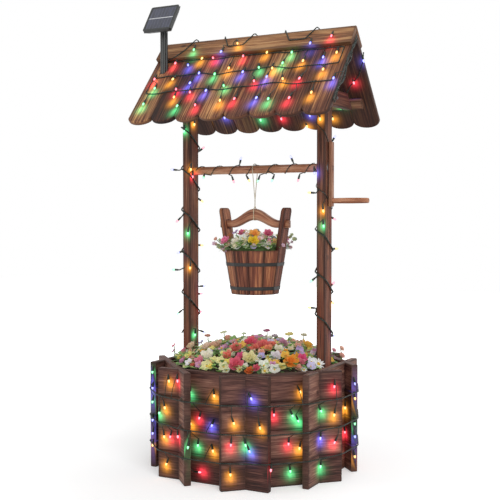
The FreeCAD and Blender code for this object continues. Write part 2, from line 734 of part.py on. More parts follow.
def bucket():
    """Plain staves, two ear staves, bottom, hoops, bail, soil and flowers."""
    ears = (0, STAVES // 2)
    plain = [stave(k * 360.0 / STAVES, BUCKET_RIM_Z) for k in range(STAVES) if k not in ears]
    save("bucket_staves", *plain)
    ear = ear_stave()
    save("bucket_ear_staves", ear, turned(ear, 180))
    disc_z = BUCKET_Z + BOTTOM_UP
    save("bucket_bottom", prism(bottom_outline(disc_z, CROZE_GAP), V(0, 0, BOTTOM_THICK)))
    save("upper_bucket_hoop", hoop(BUCKET_RIM_Z - UPPER_HOOP_DROP))
    save("lower_bucket_hoop", hoop(BUCKET_Z + LOWER_HOOP_UP))
    save("bucket_bail", bail())
    soil_top = BUCKET_RIM_Z - BUCKET_SOIL_BELOW_RIM
    shrink = STAVE_THICK + LOOP_GAP
    save("bucket_soil", tapered(shrink, disc_z + BOTTOM_THICK + CROZE_GAP, soil_top))
    radius = bucket_r(soil_top) - STAVE_THICK - BUCKET_PLANTING_GAP
    save("bucket_flowers", mound(radius, soil_top, BUCKET_RIM_Z, BUCKET_PLANTING_CROWN))


def bucket_string():
    """A cord over the axle, two strands that join, a knot and a loop round the bail."""
    over = [V(0, -WRAP_R, AXLE_Z), V(0, 0, AXLE_Z + WRAP_R), V(0, WRAP_R, AXLE_Z)]
    wrap = Part.Wire([Part.Arc(*over).toShape()])
    save("string_wrap", tube(wrap, STRING_R, STRING_SIDES, Z_AXIS))

    join = V(0, 0, AXLE_Z - STRAND_JOIN_DROP)
    knot_top = BAIL_TOP_Z + LOOP_GAP + STRING_R + KNOT_HEIGHT
    cord = prism(ring_points(STRING_SIDES, TWIST_R, knot_top), V(0, 0, join.z - knot_top))
    for side in (-1, 1):
        start = V(0, side * WRAP_R, AXLE_Z)
        way = join - start
        run = Part.Wire([Part.LineSegment(start, join).toShape()])
        cord = cord.fuse(tube(run, STRING_R, STRING_SIDES, unit(way)))
    flat = box(-WRAP_R, WRAP_R, -2 * WRAP_R, 2 * WRAP_R, knot_top, AXLE_Z - STRAND_GAP)
    save("string_strands", cord.common(flat))

    bead = ((KNOT_FLAT_R, KNOT_HEIGHT), (KNOT_R, KNOT_HEIGHT / 2), (KNOT_FLAT_R, 0))
    save("string_knot", faceted([ring_points(STRING_SIDES, r, knot_top - down) for r, down in bead]))

    inner = BAIL_THICK / 2 + LOOP_GAP
    low = BAIL_TOP_Z - BAIL_CREST_HEIGHT - LOOP_GAP
    high = BAIL_TOP_Z + LOOP_GAP
    half = LOOP_WIDTH / 2
    outer = box(-half, half, -inner - STRING_R, inner + STRING_R, low - STRING_R, high + STRING_R)
    outer = outer.makeChamfer(STRING_R, [e for e in outer.Edges if abs(e.Vertexes[0].X - e.Vertexes[1].X) > 0.1])
    save("bail_string_loop", outer.cut(box(-half - 1, half + 1, -inner, inner, low, high)))


# Solar panel

def in_panel(shape):
    """Takes a shape drawn with its face at z = 0, facing +z and y up, to its place on the stake."""
    placed = moved(shape, 0, PIVOT_BELOW_CENTRE, PIVOT_BACK)
    placed = turned(placed, PANEL_TILT, X_AXIS)
    return moved(placed, STAKE_X, -STAKE_Y, TILT_PIVOT_Z)


def rounded_block(width, height, z0, z1, radius):
    """A block with round upright corners."""
    block = box(-width / 2, width / 2, -height / 2, height / 2, z0, z1)
    upright = [e for e in block.Edges if abs(e.Vertexes[0].Z - e.Vertexes[1].Z) > 0.1]
    return block.makeFillet(radius, upright)


def frustum(width, height, shrink, z0, z1):
    """A block that narrows towards z0, by this much in all."""
    rings = []
    for z, less in ((z1, 0), (z0, shrink)):
        w = (width - less) / 2
        h = (height - less) / 2
        rings.append([V(-w, -h, z), V(w, -h, z), V(w, h, z), V(-w, h, z)])
    return faceted(rings)


def button_bar(side, radius, z0, z1):
    """A short bar through the panel's back at the left (-1) or right (1) button's place."""
    bar = prism(ring_points(BUTTON_SIDES, radius, z0), V(0, 0, z1 - z0))
    return moved(bar, side * BUTTON_SIDE, -BUTTON_DOWN, 0)


def bolt_hole():
    """The outline of the hole in the lug and the fork that the tilt bolt turns in."""
    return ring_points(BOLT_HOLE_SIDES, (TILT_BOLT_R + RUNNING_GAP) / math.cos(math.pi / BOLT_HOLE_SIDES), 0)


def solar_panel():
    """Front frame, cell, tapered back shell with its lug, battery, circuit board and buttons."""
    frame = rounded_block(PANEL_WIDTH, PANEL_HEIGHT, -FRAME_DEPTH, 0, PANEL_CORNER_R)
    cell_w = PANEL_WIDTH - 2 * FRAME_BORDER
    cell_h = PANEL_HEIGHT - 2 * FRAME_BORDER
    seat = CELL_THICK + CELL_GAP
    frame = frame.cut(box(-cell_w / 2, cell_w / 2, -cell_h / 2, cell_h / 2, -seat, 1))
    hole_w = cell_w / 2 - FRAME_LEDGE
    hole_h = cell_h / 2 - FRAME_LEDGE
    save("panel_front_frame", in_panel(frame.cut(box(-hole_w, hole_w, -hole_h, hole_h, -FRAME_DEPTH - 1, 0))))
    w = cell_w / 2 - CELL_GAP
    h = cell_h / 2 - CELL_GAP
    save("solar_cell", in_panel(box(-w, w, -h, h, -seat, -CELL_GAP)))

    inner_back = -SHELL_BACK + SHELL_WALL
    shell = frustum(PANEL_WIDTH, PANEL_HEIGHT, 2 * SHELL_TAPER, -SHELL_BACK, -FRAME_DEPTH)
    hollow = frustum(PANEL_WIDTH - 2 * SHELL_WALL, PANEL_HEIGHT - 2 * SHELL_WALL, 2 * SHELL_TAPER,
                     inner_back, -FRAME_DEPTH)
    shell = shell.cut(hollow)
    for side in (-1, 1):
        boss_x = side * (BOARD_WIDTH / 2 - BOSS_R)
        shell = shell.fuse(box(boss_x - BOSS_R, boss_x + BOSS_R, -BOARD_DOWN - BOSS_R, -BOARD_DOWN + BOSS_R,
                               inner_back, inner_back + BOSS_HEIGHT))
        hole_r = BUTTON_R + BUTTON_HOLE_GAP / math.cos(math.pi / BUTTON_SIDES)
        shell = shell.cut(button_bar(side, hole_r, -SHELL_BACK - 1, inner_back + 1))
    half = LUG_THICK / 2
    lug = box(-half, half, -PIVOT_BELOW_CENTRE - LUG_R, -PIVOT_BELOW_CENTRE + LUG_R, -PIVOT_BACK, -SHELL_BACK)
    lug = lug.fuse(rod_x(LUG_R, -half, half, -PIVOT_BELOW_CENTRE, -PIVOT_BACK))
    bore = moved(along_x(bolt_hole(), -half - 1, half + 1), 0, -PIVOT_BELOW_CENTRE, -PIVOT_BACK)
    save("panel_back_shell", in_panel(shell.fuse(lug).cut(bore).removeSplitter()))

    battery_z = inner_back + CELL_GAP + BATTERY_R
    cell = along_x(ring_points(BATTERY_SIDES, BATTERY_R, 0), -BATTERY_LENGTH / 2, BATTERY_LENGTH / 2, battery_z)
    save("battery", in_panel(moved(cell, 0, BATTERY_UP, 0)))
    board_z = inner_back + BOSS_HEIGHT
    save("charge_board", in_panel(box(-BOARD_WIDTH / 2, BOARD_WIDTH / 2, -BOARD_DOWN - BOARD_DEPTH / 2,
                                      -BOARD_DOWN + BOARD_DEPTH / 2, board_z, board_z + BOARD_SHEET)))
    for side, name in ((-1, "mode_button"), (1, "power_button")):
        cap = button_bar(side, BUTTON_R, -SHELL_BACK - BUTTON_PROUD, inner_back + GLUE_GAP)
        flange = button_bar(side, BUTTON_FLANGE_R, inner_back + GLUE_GAP, inner_back + BUTTON_FLANGE)
        save(name, in_panel(cap.fuse(flange)))


def stake():
    """The fluted stake through the roof, its point below and its fork above, with bolt and wing nut."""
    outline = []
    foot = STAKE_ROOF_Z - STAKE_BELOW_ROOF
    neck = TILT_PIVOT_Z - LUG_R - 2 * FORK_GAP
    shoulder = neck - FORK_THICK
    for k in range(2 * STAKE_FLUTES):
        radius = STAKE_R - (STAKE_FLUTE_DEPTH if k % 2 else 0)
        angle = math.pi * k / STAKE_FLUTES
        outline.append(V(radius * math.cos(angle), radius * math.sin(angle), 0))
    rings = [[p * STAKE_TIP_SHARE + Z_AXIS * (foot - STAKE_POINT) for p in outline],
             [p + Z_AXIS * foot for p in outline], [p + Z_AXIS * shoulder for p in outline]]
    body = faceted(rings).fuse(prism(ring_points(STAKE_FLUTES, STAKE_R, shoulder, 0.5), V(0, 0, FORK_THICK)))
    body = moved(body, STAKE_X, -STAKE_Y, 0)
    ear_in = LUG_THICK / 2 + FORK_GAP
    ear_out = ear_in + FORK_THICK
    for side in (-1, 1):
        x0, x1 = sorted((STAKE_X + side * ear_in, STAKE_X + side * ear_out))
        ear = box(x0, x1, -STAKE_Y - LUG_R, -STAKE_Y + LUG_R, shoulder, TILT_PIVOT_Z)
        body = body.fuse(ear).fuse(rod_x(LUG_R, x0, x1, -STAKE_Y, TILT_PIVOT_Z))
    bore = along_x(bolt_hole(), STAKE_X - 2 * STAKE_R, STAKE_X + 2 * STAKE_R, TILT_PIVOT_Z)
    bore = moved(bore, 0, -STAKE_Y, 0)
    save("panel_stake", body.cut(bore).removeSplitter())

    right = STAKE_X + ear_out
    left = STAKE_X - ear_out
    bolt = screw(TILT_BOLT_HEAD_R, TILT_BOLT_HEAD, TILT_BOLT_R, right + WING_HUB - left)
    save("tilt_bolt", moved(bolt, left, -STAKE_Y, TILT_PIVOT_Z))
    hub = along_x(ring_points(SCREW_SIDES, WING_HUB_R, 0), 0, WING_HUB)
    wings = box(0, WING_HUB, -WING_SPAN / 2, WING_SPAN / 2, -WING_THICK / 2, WING_THICK / 2)
    nut_bore = along_x(ring_points(SCREW_SIDES, TILT_BOLT_R + GLUE_GAP, 0), -1, WING_HUB + 1)
    save("wing_nut", moved(hub.fuse(wings).cut(nut_bore), right, -STAKE_Y, TILT_PIVOT_Z))


# Light string

def bulb_at(place, way):
    """A bulb on its short lead: a slim neck, a shoulder and a blunt tip, all with flat sides."""
    across = unit(way.cross(Z_AXIS if abs(way.z) < 0.9 else X_AXIS))
    up = unit(across.cross(way))
    rings = []
    for along, radius in ((0, BULB_NECK_R), (BULB_SHOULDER, BULB_R), (BULB_LENGTH, BULB_TIP_R)):
        flat = ring_points(BULB_SIDES, radius, along)
        rings.append([place + across * p.x + up * p.y + way * p.z for p in flat])
    return faceted(rings)


def least_gap(path, near):
    """The least distance between two parts of a winding further apart along it than near."""
    count = max(2, int(path.Length / GAP_STEP))
    points = path.discretize(Number=count)
    step = path.Length / (count - 1)
    skip = int(near / step) + 1
    least = path.Length
    for k in range(0, count - skip):
        for other in points[k + skip:]:
            least = min(least, points[k].distanceToPoint(other))
    return least - 2 * WIRE_R


def report_wire(name, path, solid, near):
    """Prints a winding's length, its least gap to itself and how true its volume is."""
    section = 0.5 * WIRE_SIDES * WIRE_R ** 2 * math.sin(2 * math.pi / WIRE_SIDES)
    print("%s: length %.0f mm, least gap to itself %.1f mm, volume over section times length %.3f, valid %s"
          % (name, path.Length, least_gap(path, near), solid.Volume / (section * path.Length), solid.isValid()))


def post_coil(outer_side, tops):
    """Corner points of a winding down a post, given its heights at the left front corner."""
    left, right = (-POST_OUT, -POST_IN) if outer_side < 0 else (POST_IN, POST_OUT)
    off = WIRE_OFF
    half = POST_WIDTH / 2
    corners = [(left - off, -half - off), (right + off, -half - off), (right + off, half + off),
               (left - off, half + off)]
    front = POST_THICK / (2 * (POST_THICK + POST_WIDTH))
    share = (0, front, 0.5, 0.5 + front)
    points = []
    for top, following in zip(tops, tops[1:]):
        for (x, y), part in zip(corners, share):
            points.append(V(x, y, top - part * (top - following)))
    points.append(V(corners[0][0], corners[0][1], tops[-1]))
    return points


def bulbs_on_post(points, every):
    """Bulbs that stand off the corners of a post winding."""
    cut_corner = WIRE_BEND_R * (math.sqrt(2) - 1)
    bulbs = []
    for point in points[1:-1:every]:
        side = math.copysign(1, abs(point.x) - (POST_IN + POST_OUT) / 2) * math.copysign(1, point.x)
        way = unit(V(side, math.copysign(1, point.y), -POST_BULB_DROOP))
        bulbs.append(bulb_at(point + way * (WIRE_R + POST_BULB_OFF - cut_corner), way))
    return bulbs


def post_lights():
    """One winding down each post."""
    drops = [LEFT_POST_COIL_PITCH * k for k in range(LEFT_POST_COIL_TURNS + 1)]
    left = post_coil(-1, [LEFT_POST_COIL_TOP - d for d in drops])
    drops = [0] + [RIGHT_POST_COIL_FIRST_PITCH + RIGHT_POST_COIL_PITCH * k for k in range(RIGHT_POST_COIL_TURNS)]
    right = post_coil(1, [RIGHT_POST_COIL_TOP - d for d in drops])
    for name, points in (("left_post_light", left), ("right_post_light", right)):
        path = rounded_path(points, WIRE_BEND_R)
        solid = tube(path, WIRE_R, WIRE_SIDES, unit(points[1] - points[0]))
        report_wire(name, path, solid, GAP_SPAN)
        save(name + "_wire", solid)
    save("left_post_bulbs", *bulbs_on_post(left, 3))
    save("right_post_bulbs", *bulbs_on_post([p for p in right if p.x < POST_OUT], 1))


def axle_lights():
    """A winding along the axle, worked out as a helix, with bulbs that stand off it."""
    radius = AXLE_R + WIRE_OFF
    half = POST_IN - AXLE_COIL_END
    turns = 2 * half / AXLE_COIL_PITCH
    quarters = int(turns * 4)

    def place(step):
        angle = step * math.pi / 2
        x = -half + step * AXLE_COIL_PITCH / 4
        return V(x, -radius * math.cos(angle), AXLE_Z + radius * math.sin(angle))

    def way(step):
        angle = step * math.pi / 2
        return unit(V(AXLE_COIL_PITCH / (2 * math.pi), radius * math.sin(angle), radius * math.cos(angle)))

    edges = []
    for step in range(quarters):
        edges += biarc(place(step), way(step), place(step + 1), way(step + 1))
    path = Part.Wire(edges)
    solid = tube(path, WIRE_R, WIRE_SIDES, way(0))
    report_wire("axle_light", path, solid, GAP_SPAN)
    save("axle_light_wire", solid)
    bulbs = []
    for step in range(1, quarters, 3):
        out = unit(place(step) - V(place(step).x, 0, AXLE_Z))
        lean = unit(out + X_AXIS * AXLE_BULB_LEAN)
        if abs(place(step).x) > BULB_LENGTH / 2:
            bulbs.append(bulb_at(place(step) + out * (WIRE_R + BULB_GAP), lean))
    save("axle_bulbs", *bulbs)


def roof_lights():
    """Rows to and fro across the front slope, loops over the ridge, then rows on the back slope."""
    over = ROOF_HALF - ROOF_ROW_INSET
    off = WIRE_OFF
    rows = [ROOF_ROW_FIRST + k * ROOF_ROW_PITCH for k in range(ROOF_ROWS)]
    ridge_z = APEX_Z + CAP_THICK / math.cos(PITCH) + off + WIRE_BEND_R * (1 / math.cos(PITCH) - 1)
    points = []
    for k, down in enumerate(reversed(rows)):
        way = 1 if k % 2 else -1
        points += [roof_point(-1, -way * over, down, off), roof_point(-1, way * over, down, off)]
    ridge_step = 2 * over / (2 * RIDGE_LOOPS)
    x = points[-1].x
    heading = -1 if x > 0 else 1
    side = -1
    low = CAP_WIDTH / 2
    above = CAP_THICK + off
    edge_off = (off + WIRE_BEND_R * (math.sqrt(2) - 1)) / math.sqrt(2)
    edge = (CAP_WIDTH + edge_off, CAP_THICK + edge_off)
    points.append(roof_point(-1, x + heading * ridge_step / 2, *edge))
    for k in range(2 * RIDGE_LOOPS - 1):
        x += heading * ridge_step
        points += [roof_point(side, x - heading * ridge_step / 4, low, above), V(x, 0, ridge_z),
                   roof_point(-side, x + heading * ridge_step / 4, low, above)]
        side = -side
    points.append(roof_point(1, x + heading * ridge_step / 2, *edge))
    for k, down in enumerate(rows):
        way = heading if k % 2 else -heading
        points += [roof_point(1, -way * over, down, off), roof_point(1, way * over, down, off)]
    path = rounded_path(points, WIRE_BEND_R)
    solid = tube(path, WIRE_R, WIRE_SIDES, unit(points[1] - points[0]))
    report_wire("roof_light", path, solid, GAP_SPAN)
    save("roof_light_wire", solid)
    bulbs = []
    spacing = 2 * over / ROOF_LIGHTS_PER_ROW
    for side in (-1, 1):
        for row, down in enumerate(rows):
            for k in range(ROOF_LIGHTS_PER_ROW):
                x = -over + (k + ROOF_BULB_SHARE + ROOF_BULB_STAGGER * row) * spacing
                if abs(x - STAKE_X) < 2 * STAKE_R and side < 0 and row == 0:
                    continue
                start = roof_point(side, x, down + WIRE_R + BULB_GAP, BULB_R + WIRE_GAP)
                aim = roof_point(side, x + ROOF_BULB_SWAY, down + BULB_LENGTH, BULB_R + WIRE_GAP)
                bulbs.append(bulb_at(start, unit(aim - start)))
    save("roof_bulbs", *bulbs)


def well_tips():
    """Where a tight cord bends round the board ends: its radius in a seam, on a face, its angles."""
    lean = math.degrees(math.atan2(BOARD_HALF, APOTHEM))
    seated = APOTHEM - BOARD_EDGE + (WIRE_R + 2 * WIRE_GAP) * math.sqrt(2)
    radius = seated / math.cos(math.radians(lean))
    proud_radius = (APOTHEM + WIRE_OFF) / math.cos(math.radians(lean))
    angles = []
    for k in range(WALLS):
        angles += [k * TURN - lean + TURN, k * TURN + lean]
    return radius, proud_radius, sorted(angles)


def well_lights():
    """The string wound three times round the well, a turn at each seam between courses."""
    radius, proud_radius, angles = well_tips()
    points = []
    for ring in range(WELL_RINGS):
        z = RIM_Z - (ring + 1) * COURSE_HEIGHT
        for k, angle in enumerate(angles):
            way = math.radians(angle + 90)
            climb = COURSE_HEIGHT * max(0, k - len(angles) + 3) / 4
            reach = proud_radius if climb else radius
            points.append(V(reach * math.cos(way), reach * math.sin(way), z - climb))
    path = rounded_path(points, WIRE_BEND_R)
    solid = tube(path, WIRE_R, WIRE_SIDES, unit(points[1] - points[0]))
    report_wire("well_light", path, solid, WELL_GAP_SPAN)
    save("well_light_wire", solid)
    bulbs = []
    for ring in range(WELL_RINGS):
        z = RIM_Z - (ring + 1) * COURSE_HEIGHT
        for k, angle in enumerate(angles[:-4]):
            following = angles[k + 1]
            way = math.radians((angle + following) / 2 + 90)
            reach = radius * math.cos(math.radians((following - angle) / 2))
            drop = -1 if (k + ring) % 3 else 1
            out = V(math.cos(way), math.sin(way), 0)
            along = out.cross(Z_AXIS) * WELL_BULB_SWAY
            start = out * (reach + WELL_BULB_SEAT * WIRE_R + BULB_GAP) + Z_AXIS * z
            bulbs.append(bulb_at(start, unit(Z_AXIS * drop + out * WELL_BULB_LEAN + along)))
    save("well_bulbs", *bulbs)


os.makedirs("parts", exist_ok=True)
wall()
well_inside()
posts()
TIE_Z = roof()
screws(TIE_Z)
windlass()
bucket()
bucket_string()
solar_panel()
stake()
post_lights()
axle_lights()
roof_lights()
well_lights()
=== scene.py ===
import math

import bmesh
import bpy
import numpy as np
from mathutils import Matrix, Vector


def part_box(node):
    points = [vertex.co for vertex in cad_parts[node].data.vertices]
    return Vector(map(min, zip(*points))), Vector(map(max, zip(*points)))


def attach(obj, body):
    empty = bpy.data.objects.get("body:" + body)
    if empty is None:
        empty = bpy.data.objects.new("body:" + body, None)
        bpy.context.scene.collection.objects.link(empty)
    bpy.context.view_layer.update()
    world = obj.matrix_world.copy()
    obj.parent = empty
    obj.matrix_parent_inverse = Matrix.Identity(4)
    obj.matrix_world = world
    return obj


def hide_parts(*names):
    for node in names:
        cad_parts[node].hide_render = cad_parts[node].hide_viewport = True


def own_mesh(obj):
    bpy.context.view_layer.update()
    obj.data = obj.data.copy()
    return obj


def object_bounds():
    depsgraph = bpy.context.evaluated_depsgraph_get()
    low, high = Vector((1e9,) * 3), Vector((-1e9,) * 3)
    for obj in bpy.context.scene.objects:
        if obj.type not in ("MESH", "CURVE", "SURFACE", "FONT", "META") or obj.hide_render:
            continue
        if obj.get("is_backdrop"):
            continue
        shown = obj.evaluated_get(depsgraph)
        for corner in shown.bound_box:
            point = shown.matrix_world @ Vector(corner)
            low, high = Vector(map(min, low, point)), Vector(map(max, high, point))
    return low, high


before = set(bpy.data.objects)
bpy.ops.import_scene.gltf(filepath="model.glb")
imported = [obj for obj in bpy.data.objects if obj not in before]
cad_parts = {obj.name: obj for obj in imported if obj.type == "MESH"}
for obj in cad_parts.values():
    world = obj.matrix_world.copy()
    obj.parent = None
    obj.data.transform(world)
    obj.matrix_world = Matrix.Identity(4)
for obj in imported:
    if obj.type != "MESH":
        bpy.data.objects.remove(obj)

bl_info = {
    "name": "Wishing Well Planter",
    "version": (1, 0, 0),
    "blender": (4, 5, 0),
    "location": "3D View > Sidebar > Well",
    "description": "Dresses a wishing well planter with wood, planting and a light string",
    "category": "Add Mesh",
}

MM = 0.001
BOUNDS_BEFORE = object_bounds()

# The model's sizes in millimetres. X runs along the windlass, -Y is the front, Z is up.
APOTHEM, BOARD_THICK, COURSES, COURSE, BOARD_HALF = 234.0, 18.0, 4, 71.0, 158.93
RIM = COURSES * COURSE
POST_IN, POST_OUT, POST_WIDTH, POST_PEAK = 192.0, 216.0, 46.0, 1100.5
PITCH = math.radians(50.0)
APEX, SLOPE, EAVE_ROUND = 1142.5, 287.8, 20.0
ROOF_HALF, ROOF_BOARDS, ROOF_THICK = 293.0, 8, 12.0
CAP_HALF, CAP_WIDTH, CAP_THICK = 292.0, 50.0, 12.0
BATTEN_HALF, BATTEN_WIDTH, BATTEN_THICK, BATTENS = 265.0, 25.0, 15.0, (34.0, 190.0)
AXLE_Z, AXLE_R, AXLE_END = 800.0, 11.0, 216.2
BUCKET_FOOT, BUCKET_RIM, RIM_R, FOOT_R, STAVE, STAVES = 465.0, 583.0, 83.0, 63.5, 12.0, 12
STAKE_X, STAKE_Y = -256.375, -53.0
VIEW = math.radians(27.9)   # the camera's turn from straight in front, to the right


# Shapes as arrays of points

class Form:
    """Points in millimetres, four-sided faces with their places in the grain, other flat faces,
    and for every point a tone (which board it is) and a darkening: how near it is to a sawn edge,
    with painted shade added where wall boards cross and under the roof boards."""

    def __init__(self, points, quads, places=None, flats=(), tone=0.5, burn_and_shade=0.0):
        self.points = np.asarray(points, float).reshape(-1, 3)
        self.quads = np.asarray(quads, int).reshape(-1, 4)
        count = len(self.points)
        self.places = np.zeros((len(self.quads), 4, 2)) if places is None else places
        self.flats = [f if isinstance(f, tuple) else (np.asarray(f, int), self.points[f][:, 1:])
                      for f in flats]
        self.tone = np.full(count, tone) if np.isscalar(tone) else np.asarray(tone, float)
        self.burn_and_shade = np.full(count, burn_and_shade) if np.isscalar(burn_and_shade) else np.asarray(burn_and_shade, float)

    def moved(self, x, y=0.0, z=0.0):
        """Shifted along the axes."""
        self.points = self.points + (x, y, z)
        return self

    def turned(self, degrees, axis=2):
        """Turned about an axis through the origin: x' = x cos - y sin, y' = x sin + y cos."""
        a, b = ((1, 2), (2, 0), (0, 1))[axis]
        c, s = math.cos(math.radians(degrees)), math.sin(math.radians(degrees))
        turned = self.points.copy()
        turned[:, a] = c * self.points[:, a] - s * self.points[:, b]
        turned[:, b] = s * self.points[:, a] + c * self.points[:, b]
        self.points = turned
        return self

    def flipped(self):
        """Every face turned over."""
        self.quads = self.quads[:, ::-1]
        self.places = self.places[:, ::-1]
        self.flats = [(f[::-1], p[::-1]) for f, p in self.flats]
        return self


def travelled(line):
    """The distance along a line at each of its points."""
    return np.concatenate(([0], np.cumsum(np.linalg.norm(np.diff(line, axis=0), axis=1))))


def together(forms):
    """Several forms as one, their point numbers shifted along."""
    start = np.cumsum([0] + [len(f.points) for f in forms])
    flats = [(g + s, p) for f, s in zip(forms, start) for g, p in f.flats]
    return Form(np.concatenate([f.points for f in forms]),
                np.concatenate([f.quads + s for f, s in zip(forms, start)]),
                np.concatenate([f.places for f in forms]), flats,
                np.concatenate([f.tone for f in forms]), np.concatenate([f.burn_and_shade for f in forms]))


def carried(rings, round_place, long_place, tone=0.5, burn_and_shade=0.0, ends=True):
    """A closed profile carried along a path: rings is (along, round, 3). Face (i, j) joins points
    j and j+1 of rings i and i+1, and its place in the grain is (distance along, distance round)."""
    rings = np.asarray(rings, float)
    long_count, count = rings.shape[:2]
    i, j = np.meshgrid(np.arange(long_count - 1), np.arange(count), indexing="ij")
    k = (j + 1) % count
    quads = np.stack((i * count + j, i * count + k, (i + 1) * count + k, (i + 1) * count + j), -1)
    u, v = np.asarray(long_place, float), np.asarray(round_place, float)
    places = np.stack((np.stack((u[i], v[j]), -1), np.stack((u[i], v[j + 1]), -1),
                       np.stack((u[i + 1], v[j + 1]), -1), np.stack((u[i + 1], v[j]), -1)), -2)
    flats = []
    if ends:
        last = (long_count - 1) * count
        flats = [np.arange(count)[::-1], np.arange(count) + last]
    return Form(rings, quads, places.reshape(-1, 4, 2), flats, tone, burn_and_shade)


def cut(form, cutter):
    """The form or mesh less another form, by an exact boolean on two scratch objects."""
    body = mesh_object("scratch_body", form) if isinstance(form, Form) else scratch_object(form)
    tool = mesh_object("scratch_tool", cutter)
    boolean = body.modifiers.new("cut", "BOOLEAN")
    boolean.operation, boolean.solver, boolean.object = "DIFFERENCE", "EXACT", tool
    bpy.context.view_layer.update()
    evaluated = body.evaluated_get(bpy.context.evaluated_depsgraph_get())
    mesh = bpy.data.meshes.new_from_object(evaluated, preserve_all_data_layers=True,
                                           depsgraph=bpy.context.evaluated_depsgraph_get())
    for scratch in (body, tool):
        bpy.data.objects.remove(scratch)
    return mesh


def scratch_object(mesh):
    """An object for a mesh that has none yet."""
    made = bpy.data.objects.new("scratch_body", mesh)
    bpy.context.scene.collection.objects.link(made)
    return made


def joined(*meshes):
    """Several meshes as one, with their maps and attributes."""
    whole = bmesh.new()
    for mesh in meshes:
        whole.from_mesh(mesh)
    made = bpy.data.meshes.new("joined")
    whole.to_mesh(made)
    whole.free()
    return made


# Meshes, pieces and their light

LIGHT_SPOTS = []   # (place in mm, linear colour, radius in mm) of every pool of light on the wood


def mesh_object(name, form):
    """A mesh object with its grain map, its tone, and its darkening attribute of scorch and painted shade.
    """
    mesh = bpy.data.meshes.new(name)
    faces = form.quads.tolist() + [f.tolist() for f, _ in form.flats]
    mesh.from_pydata((form.points * MM).tolist(), [], faces)
    places = np.concatenate([form.places.reshape(-1, 2)] + [p for _, p in form.flats])
    grain = mesh.uv_layers.new(name="grain")
    grain.uv.foreach_set("vector", (places.reshape(-1) * MM).astype(np.float32))
    for key, values in (("tone", form.tone), ("burn_and_shade", form.burn_and_shade)):
        attribute = mesh.attributes.new(key, "FLOAT", "POINT")
        attribute.data.foreach_set("value", values.astype(np.float32))
    made = bpy.data.objects.new(name, mesh)
    bpy.context.scene.collection.objects.link(made)
    return made


def light_pools(mesh):
    """Stores each point's share of every lamp's light as a colour: e to the minus squared distance
    over the squared radius of the pool, times how far the surface faces the lamp plus 0.4 but no
    more than one, added up over the pools."""
    place = np.empty(len(mesh.vertices) * 3, np.float32)
    mesh.vertices.foreach_get("co", place)
    place = place.reshape(-1, 3) / MM
    normal = np.empty(len(mesh.vertices) * 3, np.float32)
    mesh.vertex_normals.foreach_get("vector", normal)
    normal = normal.reshape(-1, 3)
    pool = np.zeros((len(place), 4), np.float32)
    pool[:, 3] = 1
    for spot, colour, radius in LIGHT_SPOTS:
        towards = np.asarray(spot, np.float32) - place
        away = (towards ** 2).sum(1)
        facing = np.clip((towards * normal).sum(1) / np.sqrt(away + 1) + 0.4, 0, 1)
        pool[:, :3] += (np.exp(-away / radius ** 2) * facing)[:, None] * np.asarray(colour)[None]
    mesh.attributes.new("pool", "FLOAT_COLOR", "POINT").data.foreach_set("color", pool.reshape(-1))


def piece(name, shape, finish, body="frame", nodes=(), sharp=35, pools=True):
    """Makes a finished piece out of a form or a mesh: its finish, its light, its body and the CAD
    nodes that it stands for. Edges sharper than the given angle stay crisp."""
    if isinstance(shape, Form):
        made = mesh_object(name, shape)
    else:
        made = scratch_object(shape)
        made.name = shape.name = name
    mesh = made.data
    mesh.materials.clear()
    for material in finish if isinstance(finish, (list, tuple)) else [finish]:
        mesh.materials.append(material)
    mesh.shade_smooth()
    mesh.set_sharp_from_angle(angle=math.radians(sharp))
    if pools:
        light_pools(mesh)
    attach(made, body)
    if nodes:
        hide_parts(*nodes)
    return made


def wear(node, finish):
    """Gives a CAD node its finish by its material slots; its mesh stays as it is."""
    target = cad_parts[node]
    if not target.material_slots:
        target.data.materials.append(None)
    for slot in target.material_slots:
        slot.link = "OBJECT"
        slot.material = finish


# Finishes

PANEL_TILT = math.radians(57)


def linear(code):
    """An sRGB hex colour as linear red, green, blue and alpha. A colour setting is linear already."""
    if not isinstance(code, str):
        return [*code, 1.0]
    values = [int(code[k:k + 2], 16) / 255 for k in (0, 2, 4)]
    return [v / 12.92 if v <= 0.04045 else ((v + 0.055) / 1.055) ** 2.4 for v in values] + [1.0]


def add(tree, kind, inputs=None, stops=(), **settings):
    """Adds a shader node with its settings. An input is a value, an output to link, or a node whose
    first output is meant. Stops are the places and colours of a ramp."""
    added = tree.nodes.new("ShaderNode" + kind)
    for key, value in settings.items():
        setattr(added, key, value)
    for key, value in (inputs or {}).items():
        if isinstance(value, bpy.types.Node):
            value = value.outputs[0]
        if isinstance(value, bpy.types.NodeSocket):
            tree.links.new(value, added.inputs[key])
        else:
            added.inputs[key].default_value = value
    for _ in stops[2:]:
        added.color_ramp.elements.new(0.5)
    if stops:
        for element, (position, code) in zip(added.color_ramp.elements, stops):
            element.position, element.color = position, linear(code)
    return added


def new_finish(name):
    """An empty material and its node tree."""
    material = bpy.data.materials.new(name)
    material.use_nodes = True
    material.node_tree.nodes.clear()
    return material, material.node_tree


def blotches(tree, place, sizes, detail, rough=0.6, bend=0.0):
    """Smooth noise, its blotches as long along the three axes as the sizes in millimetres."""
    stretched = add(tree, "Mapping", {0: place, "Scale": [1 / (MM * s) for s in sizes]})
    return add(tree, "TexNoise", {"Vector": stretched, "Scale": 1.0, "Detail": detail,
                                  "Roughness": rough, "Distortion": bend})


def sums(tree, *terms, start=0.0):
    """Adds up values times weights: terms are (value, weight)."""
    total = start
    for value, weight in terms:
        total = add(tree, "Math", {0: value, 1: weight, 2: total}, operation="MULTIPLY_ADD")
    return total


def overlaid(tree, colour, *overlays):
    """A colour under layers of others, whether stain, print, painted shade or painted light: each is
    (share, sRGB hex).
    """
    for share, code in overlays:
        colour = add(tree, "Mix", {0: share, 6: colour, 7: linear(code)}, data_type="RGBA").outputs[2]
    return colour


